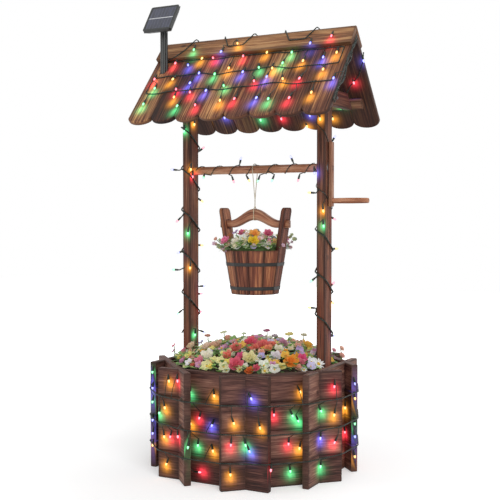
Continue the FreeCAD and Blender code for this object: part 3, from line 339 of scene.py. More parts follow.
def wood(name, stops, along, across, contrast=0.2, fine=2.4, burn_and_shade_strength=0.85, knots=True, rough=0.66,
         bump=0.35, ruddy=None, source="map"):
    """Sawn softwood: long streaks of early and late wood, finer fibres across them, broad patches,
    a few knots, and scorched edges, with painted shade where the piece's darkening attribute carries
    it as well. Along, across and fine are the streaks' length and width and the fibres' width in
    mm. The grain follows the piece's own map, or an axis for a part that has none. Ruddy is a
    height in mm under which the stain is fresher, and red brown in its lines."""
    material, tree = new_finish(name)
    mapped = source == "map"
    objects = add(tree, "TexCoord").outputs["Object"]
    place, tone = objects, 0.5
    if mapped:
        place = add(tree, "UVMap", uv_map="grain")
        tone = add(tree, "Attribute", attribute_name="tone").outputs["Fac"]

    def sizes(a, b):
        """The lengths of a blotch along the grain and across it, on the map or along the axes."""
        return (a, b, 1000) if mapped else tuple(a if axis == source else b for axis in "xyz")

    streak = blotches(tree, place, sizes(along, across), 6, 0.62, 0.9)
    fibre = blotches(tree, place, sizes(along / 3, fine), 3, 0.6)
    patch = blotches(tree, place, sizes(along * 1.4, across * 5), 2, 0.5)
    value = sums(tree, (streak, 0.9), (fibre, 0.75), (patch, 0.5), (tone, 0.3), start=-0.725)
    value = add(tree, "MapRange", {0: value, 1: 0.5 - contrast, 2: 0.5 + contrast})
    colour = add(tree, "ValToRGB", {0: value}, stops)
    if ruddy:
        height = add(tree, "SeparateXYZ", {0: objects}).outputs[2]
        low = add(tree, "MapRange", {0: height, 1: 0.4 * ruddy * MM, 2: ruddy * MM, 3: 0.75, 4: 0.0})
        lines = add(tree, "MapRange", {0: streak, 1: 0.46, 2: 0.6})
        fresh = add(tree, "Math", {0: low, 1: lines}, operation="MULTIPLY")
        colour = overlaid(tree, colour, (fresh, "a2492a"))
    # The char colour darkens knots and scorched edges, and also carries the painted shade of board
    # crossings and roof undersides.
    char_and_shade = "2a1610"
    if knots:
        apart = add(tree, "Mapping", {0: place, "Scale": [1 / (MM * s) for s in sizes(150, 120)]})
        cell = add(tree, "TexVoronoi", {"Vector": apart, "Scale": 1.0, "Randomness": 1.0})
        knot = add(tree, "MapRange", {0: cell.outputs["Distance"], 1: 0.03, 2: 0.085, 3: 0.85, 4: 0.0})
        colour = overlaid(tree, colour, (knot, char_and_shade))
    # Scorched edges and painted shade: the darkening attribute mixes in the char colour, as scorch at sawn
    # edges and as painted shade where wall boards cross and under the roof boards.
    if mapped:
        burn_and_shade = add(tree, "Attribute", attribute_name="burn_and_shade").outputs["Fac"]
        uneven = add(tree, "MapRange", {0: patch, 1: 0.3, 2: 0.7, 3: 0.35, 4: 1.3})
        edge = add(tree, "Math", {0: burn_and_shade, 1: uneven}, operation="MULTIPLY", use_clamp=True)
        edge = add(tree, "Math", {0: edge, 1: burn_and_shade_strength}, operation="MULTIPLY")
        colour = overlaid(tree, colour, (edge, char_and_shade))
    height = sums(tree, (streak, 0.6), (fibre, 0.7))
    relief = add(tree, "Bump", {"Height": height, "Strength": 0.6, "Distance": bump * MM})
    polish = add(tree, "MapRange", {0: value, 1: 0, 2: 1, 3: rough + 0.08, 4: rough - 0.1})
    shader = {"Base Color": colour, "Normal": relief, "IOR": 1.5, "Specular IOR Level": 0.35,
              "Roughness": polish}
    if mapped:
        # The lamps' light on the wood, which takes on part of its colour.
        pool = add(tree, "Attribute", attribute_name="pool").outputs["Color"]
        lit = overlaid(tree, colour, (0.7, "e8dcd0"))
        shader["Emission Color"] = add(tree, "Mix", {0: 1.0, 6: lit, 7: pool},
                                       data_type="RGBA", blend_type="MULTIPLY").outputs[2]
        shader["Emission Strength"] = 2.0
    add(tree, "OutputMaterial", {0: add(tree, "BsdfPrincipled", shader)})
    return material


def plain(name, colour, other, rough, size, metallic=False, bump=0.0, detail=3.0):
    """A finish whose colour wanders between two hexes in patches of a size in mm, with relief."""
    material, tree = new_finish(name)
    place = add(tree, "TexCoord").outputs["Object"]
    noise = blotches(tree, place, (size,) * 3, detail)
    paint = add(tree, "ValToRGB", {0: noise}, ((0.3, colour), (0.7, other)))
    polish = add(tree, "MapRange", {0: noise, 1: 0.3, 2: 0.7, 3: rough - 0.06, 4: rough + 0.06})
    shader = {"Base Color": paint, "Roughness": polish}
    shader["Metallic" if metallic else "IOR"] = 1.0 if metallic else 1.5
    if bump:
        shader["Normal"] = add(tree, "Bump", {"Height": noise, "Strength": 0.5, "Distance": bump * MM})
    add(tree, "OutputMaterial", {0: add(tree, "BsdfPrincipled", shader)})
    return material


def glowing(name, core, rim, strength):
    """A small moulded lamp cap, lit from inside: nearly white at the core, coloured at its rim."""
    material, tree = new_finish(name)
    facing = add(tree, "LayerWeight", {0: 0.35}).outputs["Facing"]
    colour = add(tree, "ValToRGB", {0: facing}, ((0.12, core), (0.7, rim)))
    cap = add(tree, "BsdfPrincipled", {
        "Base Color": linear(rim), "Roughness": 0.25, "IOR": 1.49, "Emission Color": colour,
        "Emission Strength": strength})
    add(tree, "OutputMaterial", {0: cap})
    return material


def ribbed(name, dark, rib_highlight, pitch):
    """Moulded plastic with upright ribs that carry painted highlights: pale lines where the distance along
    X is a whole pitch in mm.
    """
    material, tree = new_finish(name)
    part = add(tree, "SeparateXYZ", {0: add(tree, "TexCoord").outputs["Object"]})
    beside = sums(tree, (part.outputs[0], 1.0), start=-STAKE_X * MM)
    across = add(tree, "Math", {0: beside, 1: pitch / 2 * MM}, operation="PINGPONG")
    groove = add(tree, "MapRange", {0: across, 1: 0.2 * MM, 2: 1.4 * MM})
    # Painted highlights: the pale colour sits on the ribs as their glint, not as a colour of the plastic.
    colour = add(tree, "ValToRGB", {0: groove}, ((0.0, rib_highlight), (1.0, dark)))
    shell = add(tree, "BsdfPrincipled", {"Base Color": colour, "Roughness": 0.45, "IOR": 1.5})
    add(tree, "OutputMaterial", {0: shell})
    return material


def thin_plants():
    """Petals and leaves in the piece's own tint, darker in patches of 4 mm, with a faint glow of that
    colour, painted light that lifts their shade. About a third of the light is let through."""
    material, tree = new_finish("flower_petal")
    tint = add(tree, "Attribute", attribute_name="tint").outputs["Color"]
    noise = blotches(tree, add(tree, "TexCoord").outputs["Object"], (4, 4, 4), 4)
    shade = add(tree, "ValToRGB", {0: noise}, ((0.3, "d8d8d8"), (0.65, "ffffff")))
    colour = add(tree, "Mix", {0: 1.0, 6: tint, 7: shade}, data_type="RGBA",
                 blend_type="MULTIPLY").outputs[2]
    relief = add(tree, "Bump", {"Height": noise, "Strength": 0.4, "Distance": 0.5 * MM})
    # Painted light: petals and leaves glow faintly in their own colour, though they are no lamp.
    skin = add(tree, "BsdfPrincipled", {
        "Base Color": colour, "Roughness": 0.6, "IOR": 1.4, "Emission Color": colour,
        "Emission Strength": 0.12, "Normal": relief, "Sheen Weight": 0.2})
    through = add(tree, "BsdfTranslucent", {"Color": colour})
    both = add(tree, "MixShader", {0: 0.35, 1: skin, 2: through})
    add(tree, "OutputMaterial", {0: both})
    return material


def cell_sheet():
    """Two dark blue-grey cells under a clear sheet, with pale wires across them and a bus line
    between. The lines follow the panel's own plane, which its tilt turns. How far up that plane
    the middle of the cell lies is y cos tilt + z sin tilt of the middle of the node's box."""
    material, tree = new_finish("solar_cell_under_clear_sheet")
    middle = np.array(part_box("solar_cell")).mean(0) @ (0, math.cos(PANEL_TILT), math.sin(PANEL_TILT))
    flat = add(tree, "Mapping", {0: add(tree, "TexCoord").outputs["Object"],
                                 "Rotation": (-PANEL_TILT, 0, 0)})
    part = add(tree, "SeparateXYZ", {0: flat})
    colour = add(tree, "ValToRGB", {0: blotches(tree, flat, (9, 30, 30), 3, 0.55)},
                 ((0.3, "1c1e2c"), (0.7, "34384f")))
    across = add(tree, "Math", {0: part.outputs[0], 1: 5.2 * MM}, operation="PINGPONG")
    fingers = add(tree, "MapRange", {0: across, 1: 0.18 * MM, 2: 0.4 * MM, 3: 0.3, 4: 0.0})
    up = sums(tree, (part.outputs[1], 1.0), start=-middle)
    away = add(tree, "Math", {0: up}, operation="ABSOLUTE")
    bus = add(tree, "MapRange", {0: away, 1: 1.0 * MM, 2: 1.6 * MM, 3: 0.9, 4: 0.0})
    sheet = add(tree, "BsdfPrincipled", {
        "Base Color": overlaid(tree, colour, (fingers, "9aa0b4"), (bus, "d9dade")), "Roughness": 0.32,
        "IOR": 1.5, "Coat Weight": 0.35, "Coat Roughness": 0.06})
    add(tree, "OutputMaterial", {0: sheet})
    return material


FINISH = {}


def make_finishes():
    """Every finish, by the name that the pieces call it by. A wood goes from its charred lines over
    the middle tone that the settings give to its worn, pale places."""
    chosen = colours_set()
    roof = ((0.0, "1e0f0b"), (0.28, "452519"), (0.55, chosen.roof_wood), (0.8, "9a6a45"), (1.0, "c4925f"))
    wall = ((0.0, "25120f"), (0.3, "4d2d27"), (0.6, chosen.wall_wood), (0.85, "986e5c"), (1.0, "b68c76"))
    post = ((0.0, "2e170f"), (0.3, "6e4030"), (0.6, chosen.post_wood), (0.85, "bc8c6c"), (1.0, "d4ac88"))
    cap = ((0.0, "1f0e06"), (0.25, "4a2b18"), (0.55, chosen.ridge_wood), (0.85, "94653f"), (1.0, "b58a5e"))
    stave = ((0.0, "200c08"), (0.3, "522618"), (0.6, chosen.bucket_wood), (0.85, "9e5f3e"), (1.0, "bd8159"))
    smooth = ((0.0, "5a3020"), (0.35, "8c553c"), (0.65, chosen.oiled_wood), (1.0, "d0a080"))
    raw = ((0.0, "6b4a30"), (0.4, "a1784f"), (0.75, "c39c70"), (1.0, "d6b78d"))
    FINISH.update(
        # Scorched and brushed fir: the soft wood is burnt dark, the hard rings stay orange tan. Its boards
        # carry painted shade on their undersides.
        roof=wood("scorched_brushed_fir_with_painted_shade_below", roof, 260, 5, 0.25, fine=3.2),
        # The same under a red-brown stain, weathered greyish.
        wall=wood("stained_fir_boards_with_painted_corner_shade", wall, 150, 6, 0.3),
        post=wood("stained_fir_posts", post, 260, 5, 0.25, ruddy=620),
        cap=wood("pale_fir_ridge", cap, 230, 6, 0.24, burn_and_shade_strength=0.7),
        stave=wood("red_brown_fir_staves", stave, 180, 5, 0.23, knots=False, fine=1.8),
        # Sanded and oiled, so its streaks are softer and it is a little glossier.
        smooth=wood("oiled_fir", smooth, 130, 4, 0.25, knots=False, rough=0.5, bump=0.15, burn_and_shade_strength=0.5),
        # As it left the saw, neither stained nor lit by the lamps.
        **{"raw_" + axis: wood("sawn_fir_along_" + axis, raw, 180, 8, source=axis) for axis in "xyz"},
        # Polythene tub, matt black with dust.
        liner=plain("black_polythene", "101010", "1c1b1a", 0.55, 25),
        # Damp compost: crumbs of 4 mm, brown to black.
        compost=plain("compost", "1d130d", "4a3424", 0.95, 4, bump=2.0, detail=6.0),
        # Bright zinc plate, slightly dulled by the weather.
        screw=plain("zinc_plated_steel", "8c8e92", "b2b3b6", 0.36, 3, metallic=True),
        # Cold rolled hoop, dark brown paint worn thin in patches.
        hoop=plain("painted_hoop_steel", "0f0d0c", "211e1b", 0.5, 9, bump=0.15),
        # Soft PVC sleeve in dark green.
        wire=plain("green_pvc_sleeve", "0e1510", "1d2a1f", 0.42, 6),
        # Cream cotton twine, three plies.
        twine=plain("cotton_twine", "b9aa8c", "e6dcc4", 0.9, 1.5, bump=0.3),
        # ABS with a fine spark-eroded grain, shown at 0.8 mm.
        housing=plain("grained_abs", "1e201f", "2e302f", 0.48, 0.8, bump=0.08, detail=2.0),
        # The same in a drawn tube with upright ribs 6 mm apart, which carry painted highlights.
        stake=ribbed("ribbed_abs_tube_with_painted_highlights", "1c1d1c", "5c5e5c", 6),
        # Moulded rubber keys, matt.
        button=plain("black_button_rubber", "161616", "242424", 0.7, 1.2),
        # Glass-fibre laminate under green lacquer.
        board=plain("green_laminate", "1c5a34", "26713f", 0.45, 5),
        # Thin PVC shrunk round the battery's can, fairly glossy.
        battery=plain("shrink_sleeve_green", "4d8a55", "6ba870", 0.35, 20),
        cell=cell_sheet(),
        # Clear acrylic caps, each lit in its colour.
        red=glowing("red_lamp", "ffb0c0", chosen.red_lamp, chosen.glow),
        blue=glowing("blue_lamp", "c8ccff", chosen.blue_lamp, chosen.glow),
        amber=glowing("amber_lamp", "ffe6a0", chosen.amber_lamp, chosen.glow),
        green=glowing("green_lamp", "b8ffd0", chosen.green_lamp, chosen.glow),
        petal=thin_plants(),
    )


# Wooden parts

CORNER_STEPS = 3        # chords in a worn corner
BOARD_CORNER = 2.6      # radius of a board's or post's corners
LAP_GAP = 0.3           # clearance of the half laps
CROSSING = APOTHEM * math.tan(math.pi / 8)   # from a board's middle to its neighbour's face
CROSSING_SHADE = 11.0   # how far from a crossing the boards are dark
BORE_GAP = 0.08         # clearance round the axle
ROOF_GAP = 0.8          # between two roof boards
RIDGE_GAP = 0.25        # from the ridge's middle to the first board
EAVE_WEAR = 2.2         # radius to which a roof board's lower end is worn
STAKE_HOLE_R = 10.8
TENON, TENON_HOLE = 9.0, 9.1
CRANK_X, CRANK_MIDDLE, CRANK_HALF = 223.5, 782.5, 83.5
GRIP_Z, GRIP_FOOT, GRIP_LONG, GRIP_R, GRIP_PIN = 714.0, 228.1, 98.4, 6.7, 4.5


def outline(corners, radius, spacing):
    """A flat shape with straight sides and round corners, anticlockwise: at each corner an arc
    tangent to both sides, between them straight runs divided by half cosines so that points crowd
    towards the corners. Returns the points, the distance round at each and back at the start, and
    each point's distance to the nearest corner."""
    corners = np.asarray(corners, float)
    arcs = []
    for k, corner in enumerate(corners):
        back = corners[k - 1] - corner
        ahead = corners[(k + 1) % len(corners)] - corner
        back, ahead = back / np.linalg.norm(back), ahead / np.linalg.norm(ahead)
        half = math.acos(np.clip(np.dot(back, ahead), -1, 1)) / 2
        middle = corner + (back + ahead) / np.linalg.norm(back + ahead) * radius / math.sin(half)
        start = corner + back * radius / math.tan(half)
        first = math.atan2(*(start - middle)[::-1])
        turn = first + (math.pi - 2 * half) * np.linspace(0, 1, CORNER_STEPS + 1)
        arcs.append(middle + radius * np.stack((np.cos(turn), np.sin(turn)), 1))
    points, near = [], []
    for k, arc in enumerate(arcs):
        following = arcs[(k + 1) % len(arcs)][0]
        run = np.linalg.norm(following - arc[-1])
        count = int(math.ceil(run / spacing)) + (run > spacing)
        share = (0.5 - 0.5 * np.cos(np.pi * np.arange(1, count) / count))[:, None]
        points += [arc, arc[-1] + (following - arc[-1]) * share]
        near += [np.zeros(CORNER_STEPS + 1), run * np.minimum(share, 1 - share)[:, 0]]
    points = np.concatenate(points)
    lengths = np.linalg.norm(np.roll(points, -1, 0) - points, axis=1)
    return points, np.concatenate(([0], np.cumsum(lengths))), np.concatenate(near)


def rectangle(width, height):
    """Four corners about the origin, anticlockwise."""
    w, h = width / 2, height / 2
    return (w, h), (-w, h), (-w, -h), (w, -h)


def stations(half, spacing, ease):
    """Places along a bar from end to end: even, with extra ones where its ends are eased."""
    count = max(1, int(round(2 * (half - 6) / spacing)))
    edge = np.array([0.0, ease * 0.3, ease, ease + 2.5])
    inner = np.linspace(-half + 6, half - 6, count + 1) if half > 8 else np.zeros(1)
    return np.concatenate((-half + edge, inner, half - edge[::-1]))


def worn(left, ease):
    """How far a side is drawn in at a distance from a worn end: ease less the root of ease squared
    less depth squared, the depth being ease less that distance."""
    depth = np.clip(ease - left, 0, ease)
    return ease - np.sqrt(np.maximum(ease ** 2 - depth ** 2, 0))


def sawn(half, corners, radius, seed, spacing=9.0, plate=False):
    """A sawn bar along X, the outline in y and z carried along it and drawn in at its worn ends.
    Burn is e to the minus distance over the scorch from the nearest edge or end. The grain runs
    along the bar, or along y for a short plate."""
    ease = 1.2
    flat, round_place, near = outline(corners, radius, spacing)
    x = stations(half, spacing, ease)
    left = half - np.abs(x)
    centre = (flat.max(0) + flat.min(0)) / 2
    size = (flat.max(0) - flat.min(0)) / 2
    scale = 1 - worn(left, ease)[:, None] / size
    rings = np.empty((len(x), len(flat), 3))
    rings[..., 0] = x[:, None]
    rings[..., 1:] = centre + (flat - centre)[None] * scale[:, None]
    draw = np.random.default_rng(seed)
    scorch = sizes_set().scorch / MM
    burn_and_shade = np.maximum(np.exp(-near / scorch)[None], np.exp(-left / scorch)[:, None])
    shift = draw.uniform(0, 4000, 2)
    made = carried(rings, round_place + shift[1], x + shift[0], draw.uniform(), burn_and_shade.reshape(-1))
    if plate:
        made.burn_and_shade = made.burn_and_shade * 0.6
        made.places = made.points[made.quads][..., 1:] + shift
        made.flats = [(f, made.points[f][:, 1:] + shift) for f, _ in made.flats]
    return made


def block(x0, x1, y0, y1, z0, z1):
    """A plain box, for cutting."""
    points = [(x, y, z) for x in (x0, x1) for y in (y0, y1) for z in (z0, z1)]
    return Form(points, ((0, 1, 3, 2), (4, 6, 7, 5), (0, 4, 5, 1), (2, 3, 7, 6), (0, 2, 6, 4),
                         (1, 5, 7, 3)))


def spun(profile, seed=0, sides=40):
    """A turned form along X: the (x, radius) profile goes round the axis; grain along X."""
    profile = np.asarray(profile, float)
    angle = 2 * np.pi * np.arange(sides) / sides
    rings = np.stack((np.repeat(profile[:, :1], sides, 1), profile[:, 1:] * np.cos(angle),
                      profile[:, 1:] * np.sin(angle)), -1)
    draw = np.random.default_rng(seed)
    girth = np.arange(sides + 1) / sides * 2 * np.pi * profile[:, 1].max() + draw.uniform(0, 3000)
    return carried(rings, girth, travelled(profile) + draw.uniform(0, 3000), draw.uniform())


def rod(radius, x0, x1):
    """A plain bar along X, for boring."""
    return spun(((x0, radius), (x1, radius)), sides=48)


def laid(form, side):
    """Lays a form drawn flat, with y down the slope and z out of it, on the front (-1) or back (1)
    slope: back = y cos pitch + z sin pitch, height = ridge - y sin pitch + z cos pitch."""
    x, y, z = form.points.T
    back = y * math.cos(PITCH) + z * math.sin(PITCH)
    high = APEX - y * math.sin(PITCH) + z * math.cos(PITCH)
    form.points = np.stack((side * x, side * back, high), 1)
    return form


def wall_courses():
    """Four rings of eight boards, with painted shade in the corners where two cross. At every
    crossing one board keeps its lower half and the other its upper half, cut by boxes as thick as
    a board and a clearance more on each side."""
    outer, inner = -APOTHEM - LAP_GAP, -APOTHEM + BOARD_THICK + LAP_GAP
    for course, name in enumerate(("bottom", "second", "third", "top")):
        foot = course * COURSE
        middle, past = foot + COURSE / 2, 3
        meshes = []
        for odd in (0, 1):
            boards = []
            for k in range(odd, 8, 2):
                board = sawn(BOARD_HALF, rectangle(BOARD_THICK, COURSE - 0.2), BOARD_CORNER,
                             100 * course + k)
                # Painted shade: each board is darkened near a crossing, where the neighbour's end shades
                # the inner corner. It goes into the same attribute as the scorched edges.
                corner = np.abs(np.abs(board.points[:, 0]) - CROSSING)
                board.burn_and_shade = np.maximum(board.burn_and_shade, 1.1 * np.exp(-corner / CROSSING_SHADE))
                boards.append(board.moved(0, -APOTHEM + BOARD_THICK / 2, middle).turned(45 * k))
            low, high = (foot - past, middle) if odd else (middle, foot + COURSE + past)
            laps = [block(-BOARD_HALF - 1, BOARD_HALF + 1, outer, inner, low, high).turned(45 * k)
                    for k in range(1 - odd, 8, 2)]
            meshes.append(cut(together(boards), together(laps)))
        piece(name + "_course", joined(*meshes), FINISH["wall"], nodes=[name + "_course_boards"])


def post_pieces():
    """Two posts with tops cut to the battens, bored for the axle."""
    half = (POST_PEAK + 6) / 2
    for side, name in ((-1, "left_post"), (1, "right_post")):
        bar = sawn(half, rectangle(POST_WIDTH, POST_OUT - POST_IN), BOARD_CORNER, 40 + side, 5)
        mesh = bar.turned(-90, 1).moved(side * (POST_IN + POST_OUT) / 2, 0, half)
        across = sorted((side * (POST_IN - 5), side * (POST_OUT + 5)))
        above = ROOF_THICK + BATTEN_THICK
        for tool in (laid(block(*across, -60, 120, -above, 60), 1),
                     laid(block(-across[1], -across[0], -60, 120, -above, 60), -1),
                     rod(AXLE_R + BORE_GAP, *across).moved(0, 0, AXLE_Z)):
            mesh = cut(mesh, tool)
        piece(name + "_timber", mesh, FINISH["post"], nodes=[name])


def plumb(z):
    """How far down the slope the plumb cut at the ridge lies, at a height z over the boards."""
    return (RIDGE_GAP - z * math.sin(PITCH)) / math.cos(PITCH)


def roof_board(width, seed):
    """One board: its outline is carried down the slope from the plumb cut to the worn half ellipse,
    y = slope - round + round root(1 - t squared), t across it from -1 to 1. It is darkest below,
    a painted shade, and along its edges and its end."""
    draw = np.random.default_rng(seed)
    flat, round_place, near = outline(rectangle(width, ROOF_THICK), 2.0, 8.0)
    x, z = flat.T
    z = z - ROOF_THICK / 2
    start = plumb(z)
    share = np.concatenate((np.linspace(0, 0.96, 34), (0.98, 0.99, 0.995, 1)))[:, None]
    bow = np.sqrt(np.maximum(0, 1 - (2 * x / width) ** 2))
    end = SLOPE - EAVE_ROUND + EAVE_ROUND * bow - 0.3
    down = start + share * (end - start)
    left = end - down
    drawn_in = 1 - worn(left, EAVE_WEAR) / (ROOF_THICK / 2)
    thick = (z + ROOF_THICK / 2) * drawn_in - ROOF_THICK / 2
    rings = np.stack((np.broadcast_to(x, down.shape), down, thick), -1)
    burn_and_shade = np.maximum(np.exp(-near / 5.0)[None], 0.4 * np.exp(-((left - 8) / 5) ** 2))
    # Painted shade: the lower half of the board's section, its underside, is darkened as if in the roof's
    # shade.
    burn_and_shade = np.maximum(burn_and_shade, np.where(z < -ROOF_THICK / 2, 0.85, 0)[None])
    shift = draw.uniform(0, 4000, 2)
    board = carried(rings, round_place + shift[1], share[:, 0] * SLOPE + shift[0], draw.uniform(),
                    burn_and_shade.reshape(-1), ends=False)
    # Both ends are bent, so they are closed by strips from the upper side to the lower.
    count = len(x)
    j = np.arange(count // 2 - 1)
    strip = np.stack((j, j + 1, count - 2 - j, count - 1 - j), 1)
    board.quads = np.concatenate((board.quads, strip[:, ::-1], strip + (len(share) - 1) * count))
    board.places = np.concatenate((board.places, np.zeros((2 * len(strip), 4, 2)) + shift))
    return board.flipped()


def roof_boards():
    """Eight boards and a ridge board on each slope, the battens under them and the gable ties."""
    pitch = 2 * ROOF_HALF / ROOF_BOARDS
    for side, name in ((-1, "front"), (1, "back")):
        whole = together([
            laid(roof_board(pitch - ROOF_GAP, 500 + 20 * side + k)
                 .moved((k - (ROOF_BOARDS - 1) / 2) * pitch), side) for k in range(ROOF_BOARDS)])
        if side < 0:
            whole = cut(whole, rod(STAKE_HOLE_R, 900, 1200).turned(-90, 1).moved(STAKE_X, STAKE_Y))
        piece(name + "_roof", whole, FINISH["roof"], nodes=[name + "_roof_boards"])
        corners = ((CAP_WIDTH, CAP_THICK), (plumb(CAP_THICK), CAP_THICK), (plumb(0), 0.0), (CAP_WIDTH, 0.0))
        cap = laid(sawn(CAP_HALF, corners, 1.6, 620 + side), side)
        piece(name + "_ridge_board", cap, FINISH["cap"], nodes=[name + "_ridge_cap"])
    for down, name in zip(BATTENS, ("upper", "lower")):
        pair = [laid(sawn(BATTEN_HALF, rectangle(BATTEN_WIDTH, BATTEN_THICK), 1.5, 650 + side)
                     .moved(0, down + BATTEN_WIDTH / 2, -ROOF_THICK - BATTEN_THICK / 2), side)
                for side in (-1, 1)]
        piece(name + "_batten_pair", together(pair), FINISH["post"], nodes=[name + "_battens"])
    foot, top = (corner.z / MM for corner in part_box("gable_ties"))
    low, high = ((POST_PEAK - z) / math.tan(PITCH) for z in (foot, top))
    corners = ((low, foot), (high, top), (-high, top), (-low, foot))
    ties = [sawn(9, corners, 1.5, 690 + side, 12, plate=True).moved(side * (POST_OUT + 9.1))
            for side in (-1, 1)]
    piece("gable_tie_pair", together(ties), FINISH["post"], nodes=["gable_ties"])


def windlass_pieces():
    """Axle with its tenon, crank arm, and a grip that swells by a half sine and ends in a quarter
    circle."""
    x = np.concatenate(((-AXLE_END, -AXLE_END + 0.6), np.linspace(-AXLE_END + 8, AXLE_END - 8, 48),
                        (AXLE_END - 0.6, AXLE_END)))
    radius = AXLE_R - worn(AXLE_END - np.abs(x), 0.6)
    axle = together([spun(np.stack((x, radius), 1), 7),
                     sawn(6, rectangle(TENON, TENON), 0.5, 8).moved(222)])
    piece("axle_bar", axle.moved(0, 0, AXLE_Z), FINISH["smooth"], "windlass", ["windlass_axle"])
    arm = sawn(CRANK_HALF, rectangle(18, 9), 2.2, 9).turned(-90, 1).moved(CRANK_X, 0, CRANK_MIDDLE)
    for tool in (sawn(9, rectangle(TENON_HOLE, TENON_HOLE), 0.4, 1).moved(CRANK_X, 0, AXLE_Z),
                 rod(GRIP_PIN + 0.05, 215, 232).moved(0, 0, GRIP_Z)):
        arm = cut(arm, tool)
    piece("crank_bar", arm, FINISH["smooth"], "windlass", ["crank_arm"])
    t = np.linspace(0, 1, 26)
    swell = 0.7 * np.sin(np.pi * np.clip(t * 1.02, 0, 1)) ** 0.8
    profile = np.stack((GRIP_FOOT + GRIP_LONG * t, GRIP_R + swell), 1)
    tip = np.linspace(0, np.pi / 2, 7)[1:]
    tip = profile[-1] + np.stack((2 * np.sin(tip) - 1.5, 2 * np.cos(tip) - 2), 1)
    grip = np.concatenate((((219, GRIP_PIN), (228, GRIP_PIN), (GRIP_FOOT, 6.0)), profile[:-1], tip))
    piece("crank_handle", spun(grip, 11).moved(0, 0, GRIP_Z), FINISH["smooth"], "windlass", ["crank_grip"])


# Bucket

STAVE_GAP, STAVE_WEAR = 0.25, 1.2
EAR_TOP, EAR_CORNER = 697.0, 13.0
BAIL_THICK, BAIL_TALL, BAIL_FOOT, SLOT_GAP = 14.0, 20.0, 643.0, 0.2
BAIL_RISE, BAIL_SPAN = (31.0, 21.0), (75.0, 68.0)   # of its upper and its lower edge


def bucket_r(z):
    """The bucket's radius to the middle of a stave's outer face, at a height."""
    return FOOT_R + (z - BUCKET_FOOT) * (RIM_R - FOOT_R) / (BUCKET_RIM - BUCKET_FOOT)


def stave(angle, top, seed, ear=False):
    """A stave: its plan, a wedge between two flats with worn corners, is carried up the taper. Depth
    from the outer face stays; the width goes with the distance from the middle. Above the rim an
    ear keeps its width, with round top corners."""
    half = math.tan(math.pi / STAVES)
    inside = RIM_R - STAVE
    corners = ((0, half * RIM_R - STAVE_GAP), (-STAVE, half * inside - STAVE_GAP),
               (-STAVE, STAVE_GAP - half * inside), (0, STAVE_GAP - half * RIM_R))
    flat, round_place, near = outline(corners, 1.6, 7.0)
    depth = flat[:, 0]
    share = flat[:, 1] / (half * (RIM_R + depth) - STAVE_GAP)
    tall = top - BUCKET_FOOT
    z = BUCKET_FOOT + np.concatenate(((0, 0.4, 1.4), np.linspace(4, tall - 16, 16), tall - np.array(
        (14, 13, 11, 8.5, 6, 3.6, 1.8, 0.7, 0.15, 0))))
    ends = np.minimum(z - BUCKET_FOOT, top - z)
    ease = worn(ends, STAVE_WEAR)[:, None]
    radius = bucket_r(z)[:, None]
    width = half * (radius + depth) - STAVE_GAP
    if ear:
        corner = np.clip(z - (top - EAR_CORNER), 0, EAR_CORNER)
        limit = RIM_R * math.sin(math.pi / STAVES) - EAR_CORNER + np.sqrt(EAR_CORNER ** 2 - corner ** 2)
        width = np.where(z[:, None] > BUCKET_RIM, np.minimum(width, limit[:, None]), width)
    rings = np.stack((radius - STAVE / 2 + (depth + STAVE / 2) * (1 - ease / (STAVE / 2)),
                      share * (width - ease), np.broadcast_to(z[:, None], width.shape)), -1)
    draw = np.random.default_rng(seed)
    shift = draw.uniform(0, 3000, 2)
    burn_and_shade = np.maximum(np.exp(-near / 3.0)[None], np.exp(-ends / 3.5)[:, None])
    made = carried(rings, round_place + shift[1], z + shift[0], draw.uniform(), burn_and_shade.reshape(-1))
    return made.turned(angle)


def bail_form():
    """The bail: a rectangle with round corners carried along X. Its upper and lower edge are each a
    foot and a rise times half of one plus the cosine of pi x over the span."""
    half = bucket_r(BAIL_FOOT + BAIL_TALL) + 8
    flat, round_place, near = outline(rectangle(BAIL_THICK, BAIL_TALL), 2.2, 6.0)
    x = stations(half, 4.0, 1.0)
    over, under = (foot + rise * (0.5 + 0.5 * np.cos(np.pi * np.clip(x / span, -1, 1)))
                   for foot, rise, span in zip((BAIL_FOOT + BAIL_TALL, BAIL_FOOT), BAIL_RISE, BAIL_SPAN))
    left = half - np.abs(x)
    ease = worn(left, 1.0)
    middle, tall = (over + under) / 2, (over - under) / 2 - ease
    round_off = 2.3
    side, straight = np.sign(flat[:, 1]), BAIL_TALL / 2 - round_off
    corner = side * (np.abs(flat[:, 1]) - BAIL_TALL / 2)
    rings = np.empty((len(x), len(flat), 3))
    rings[..., 0] = x[:, None]
    rings[..., 1] = flat[:, 0] * (1 - ease[:, None] / (BAIL_THICK / 2))
    rings[..., 2] = middle[:, None] + np.where(
        np.abs(flat[:, 1]) > straight, side * tall[:, None] + corner,
        flat[:, 1] / straight * (tall[:, None] - round_off))
    burn_and_shade = np.maximum(np.exp(-near / 3.0)[None], np.exp(-left / 4.0)[:, None])
    return carried(rings, round_place, x, 0.6, burn_and_shade.reshape(-1))


def bucket_pieces():
    """Ten plain staves, two ears slotted for the bail, and the arched bail."""
    plain_staves = [stave(k * 30, BUCKET_RIM, 700 + k) for k in range(STAVES) if k % 6]
    piece("plain_staves", together(plain_staves), FINISH["stave"], "bucket", ["bucket_staves"])
    ears = [stave(k * 180, EAR_TOP, 720 + k, ear=True) for k in (0, 1)]
    across, low, high = BAIL_THICK / 2 + SLOT_GAP, BAIL_FOOT - SLOT_GAP, BAIL_FOOT + BAIL_TALL + SLOT_GAP
    slots = together([block(x - 20, x + 20, -across, across, low, high) for x in (-92, 92)])
    piece("ear_staves", cut(together(ears), slots), FINISH["stave"], "bucket", ["bucket_ear_staves"])
    piece("bail_board", bail_form(), FINISH["smooth"], "bucket", ["bucket_bail"])


# Cords and lights

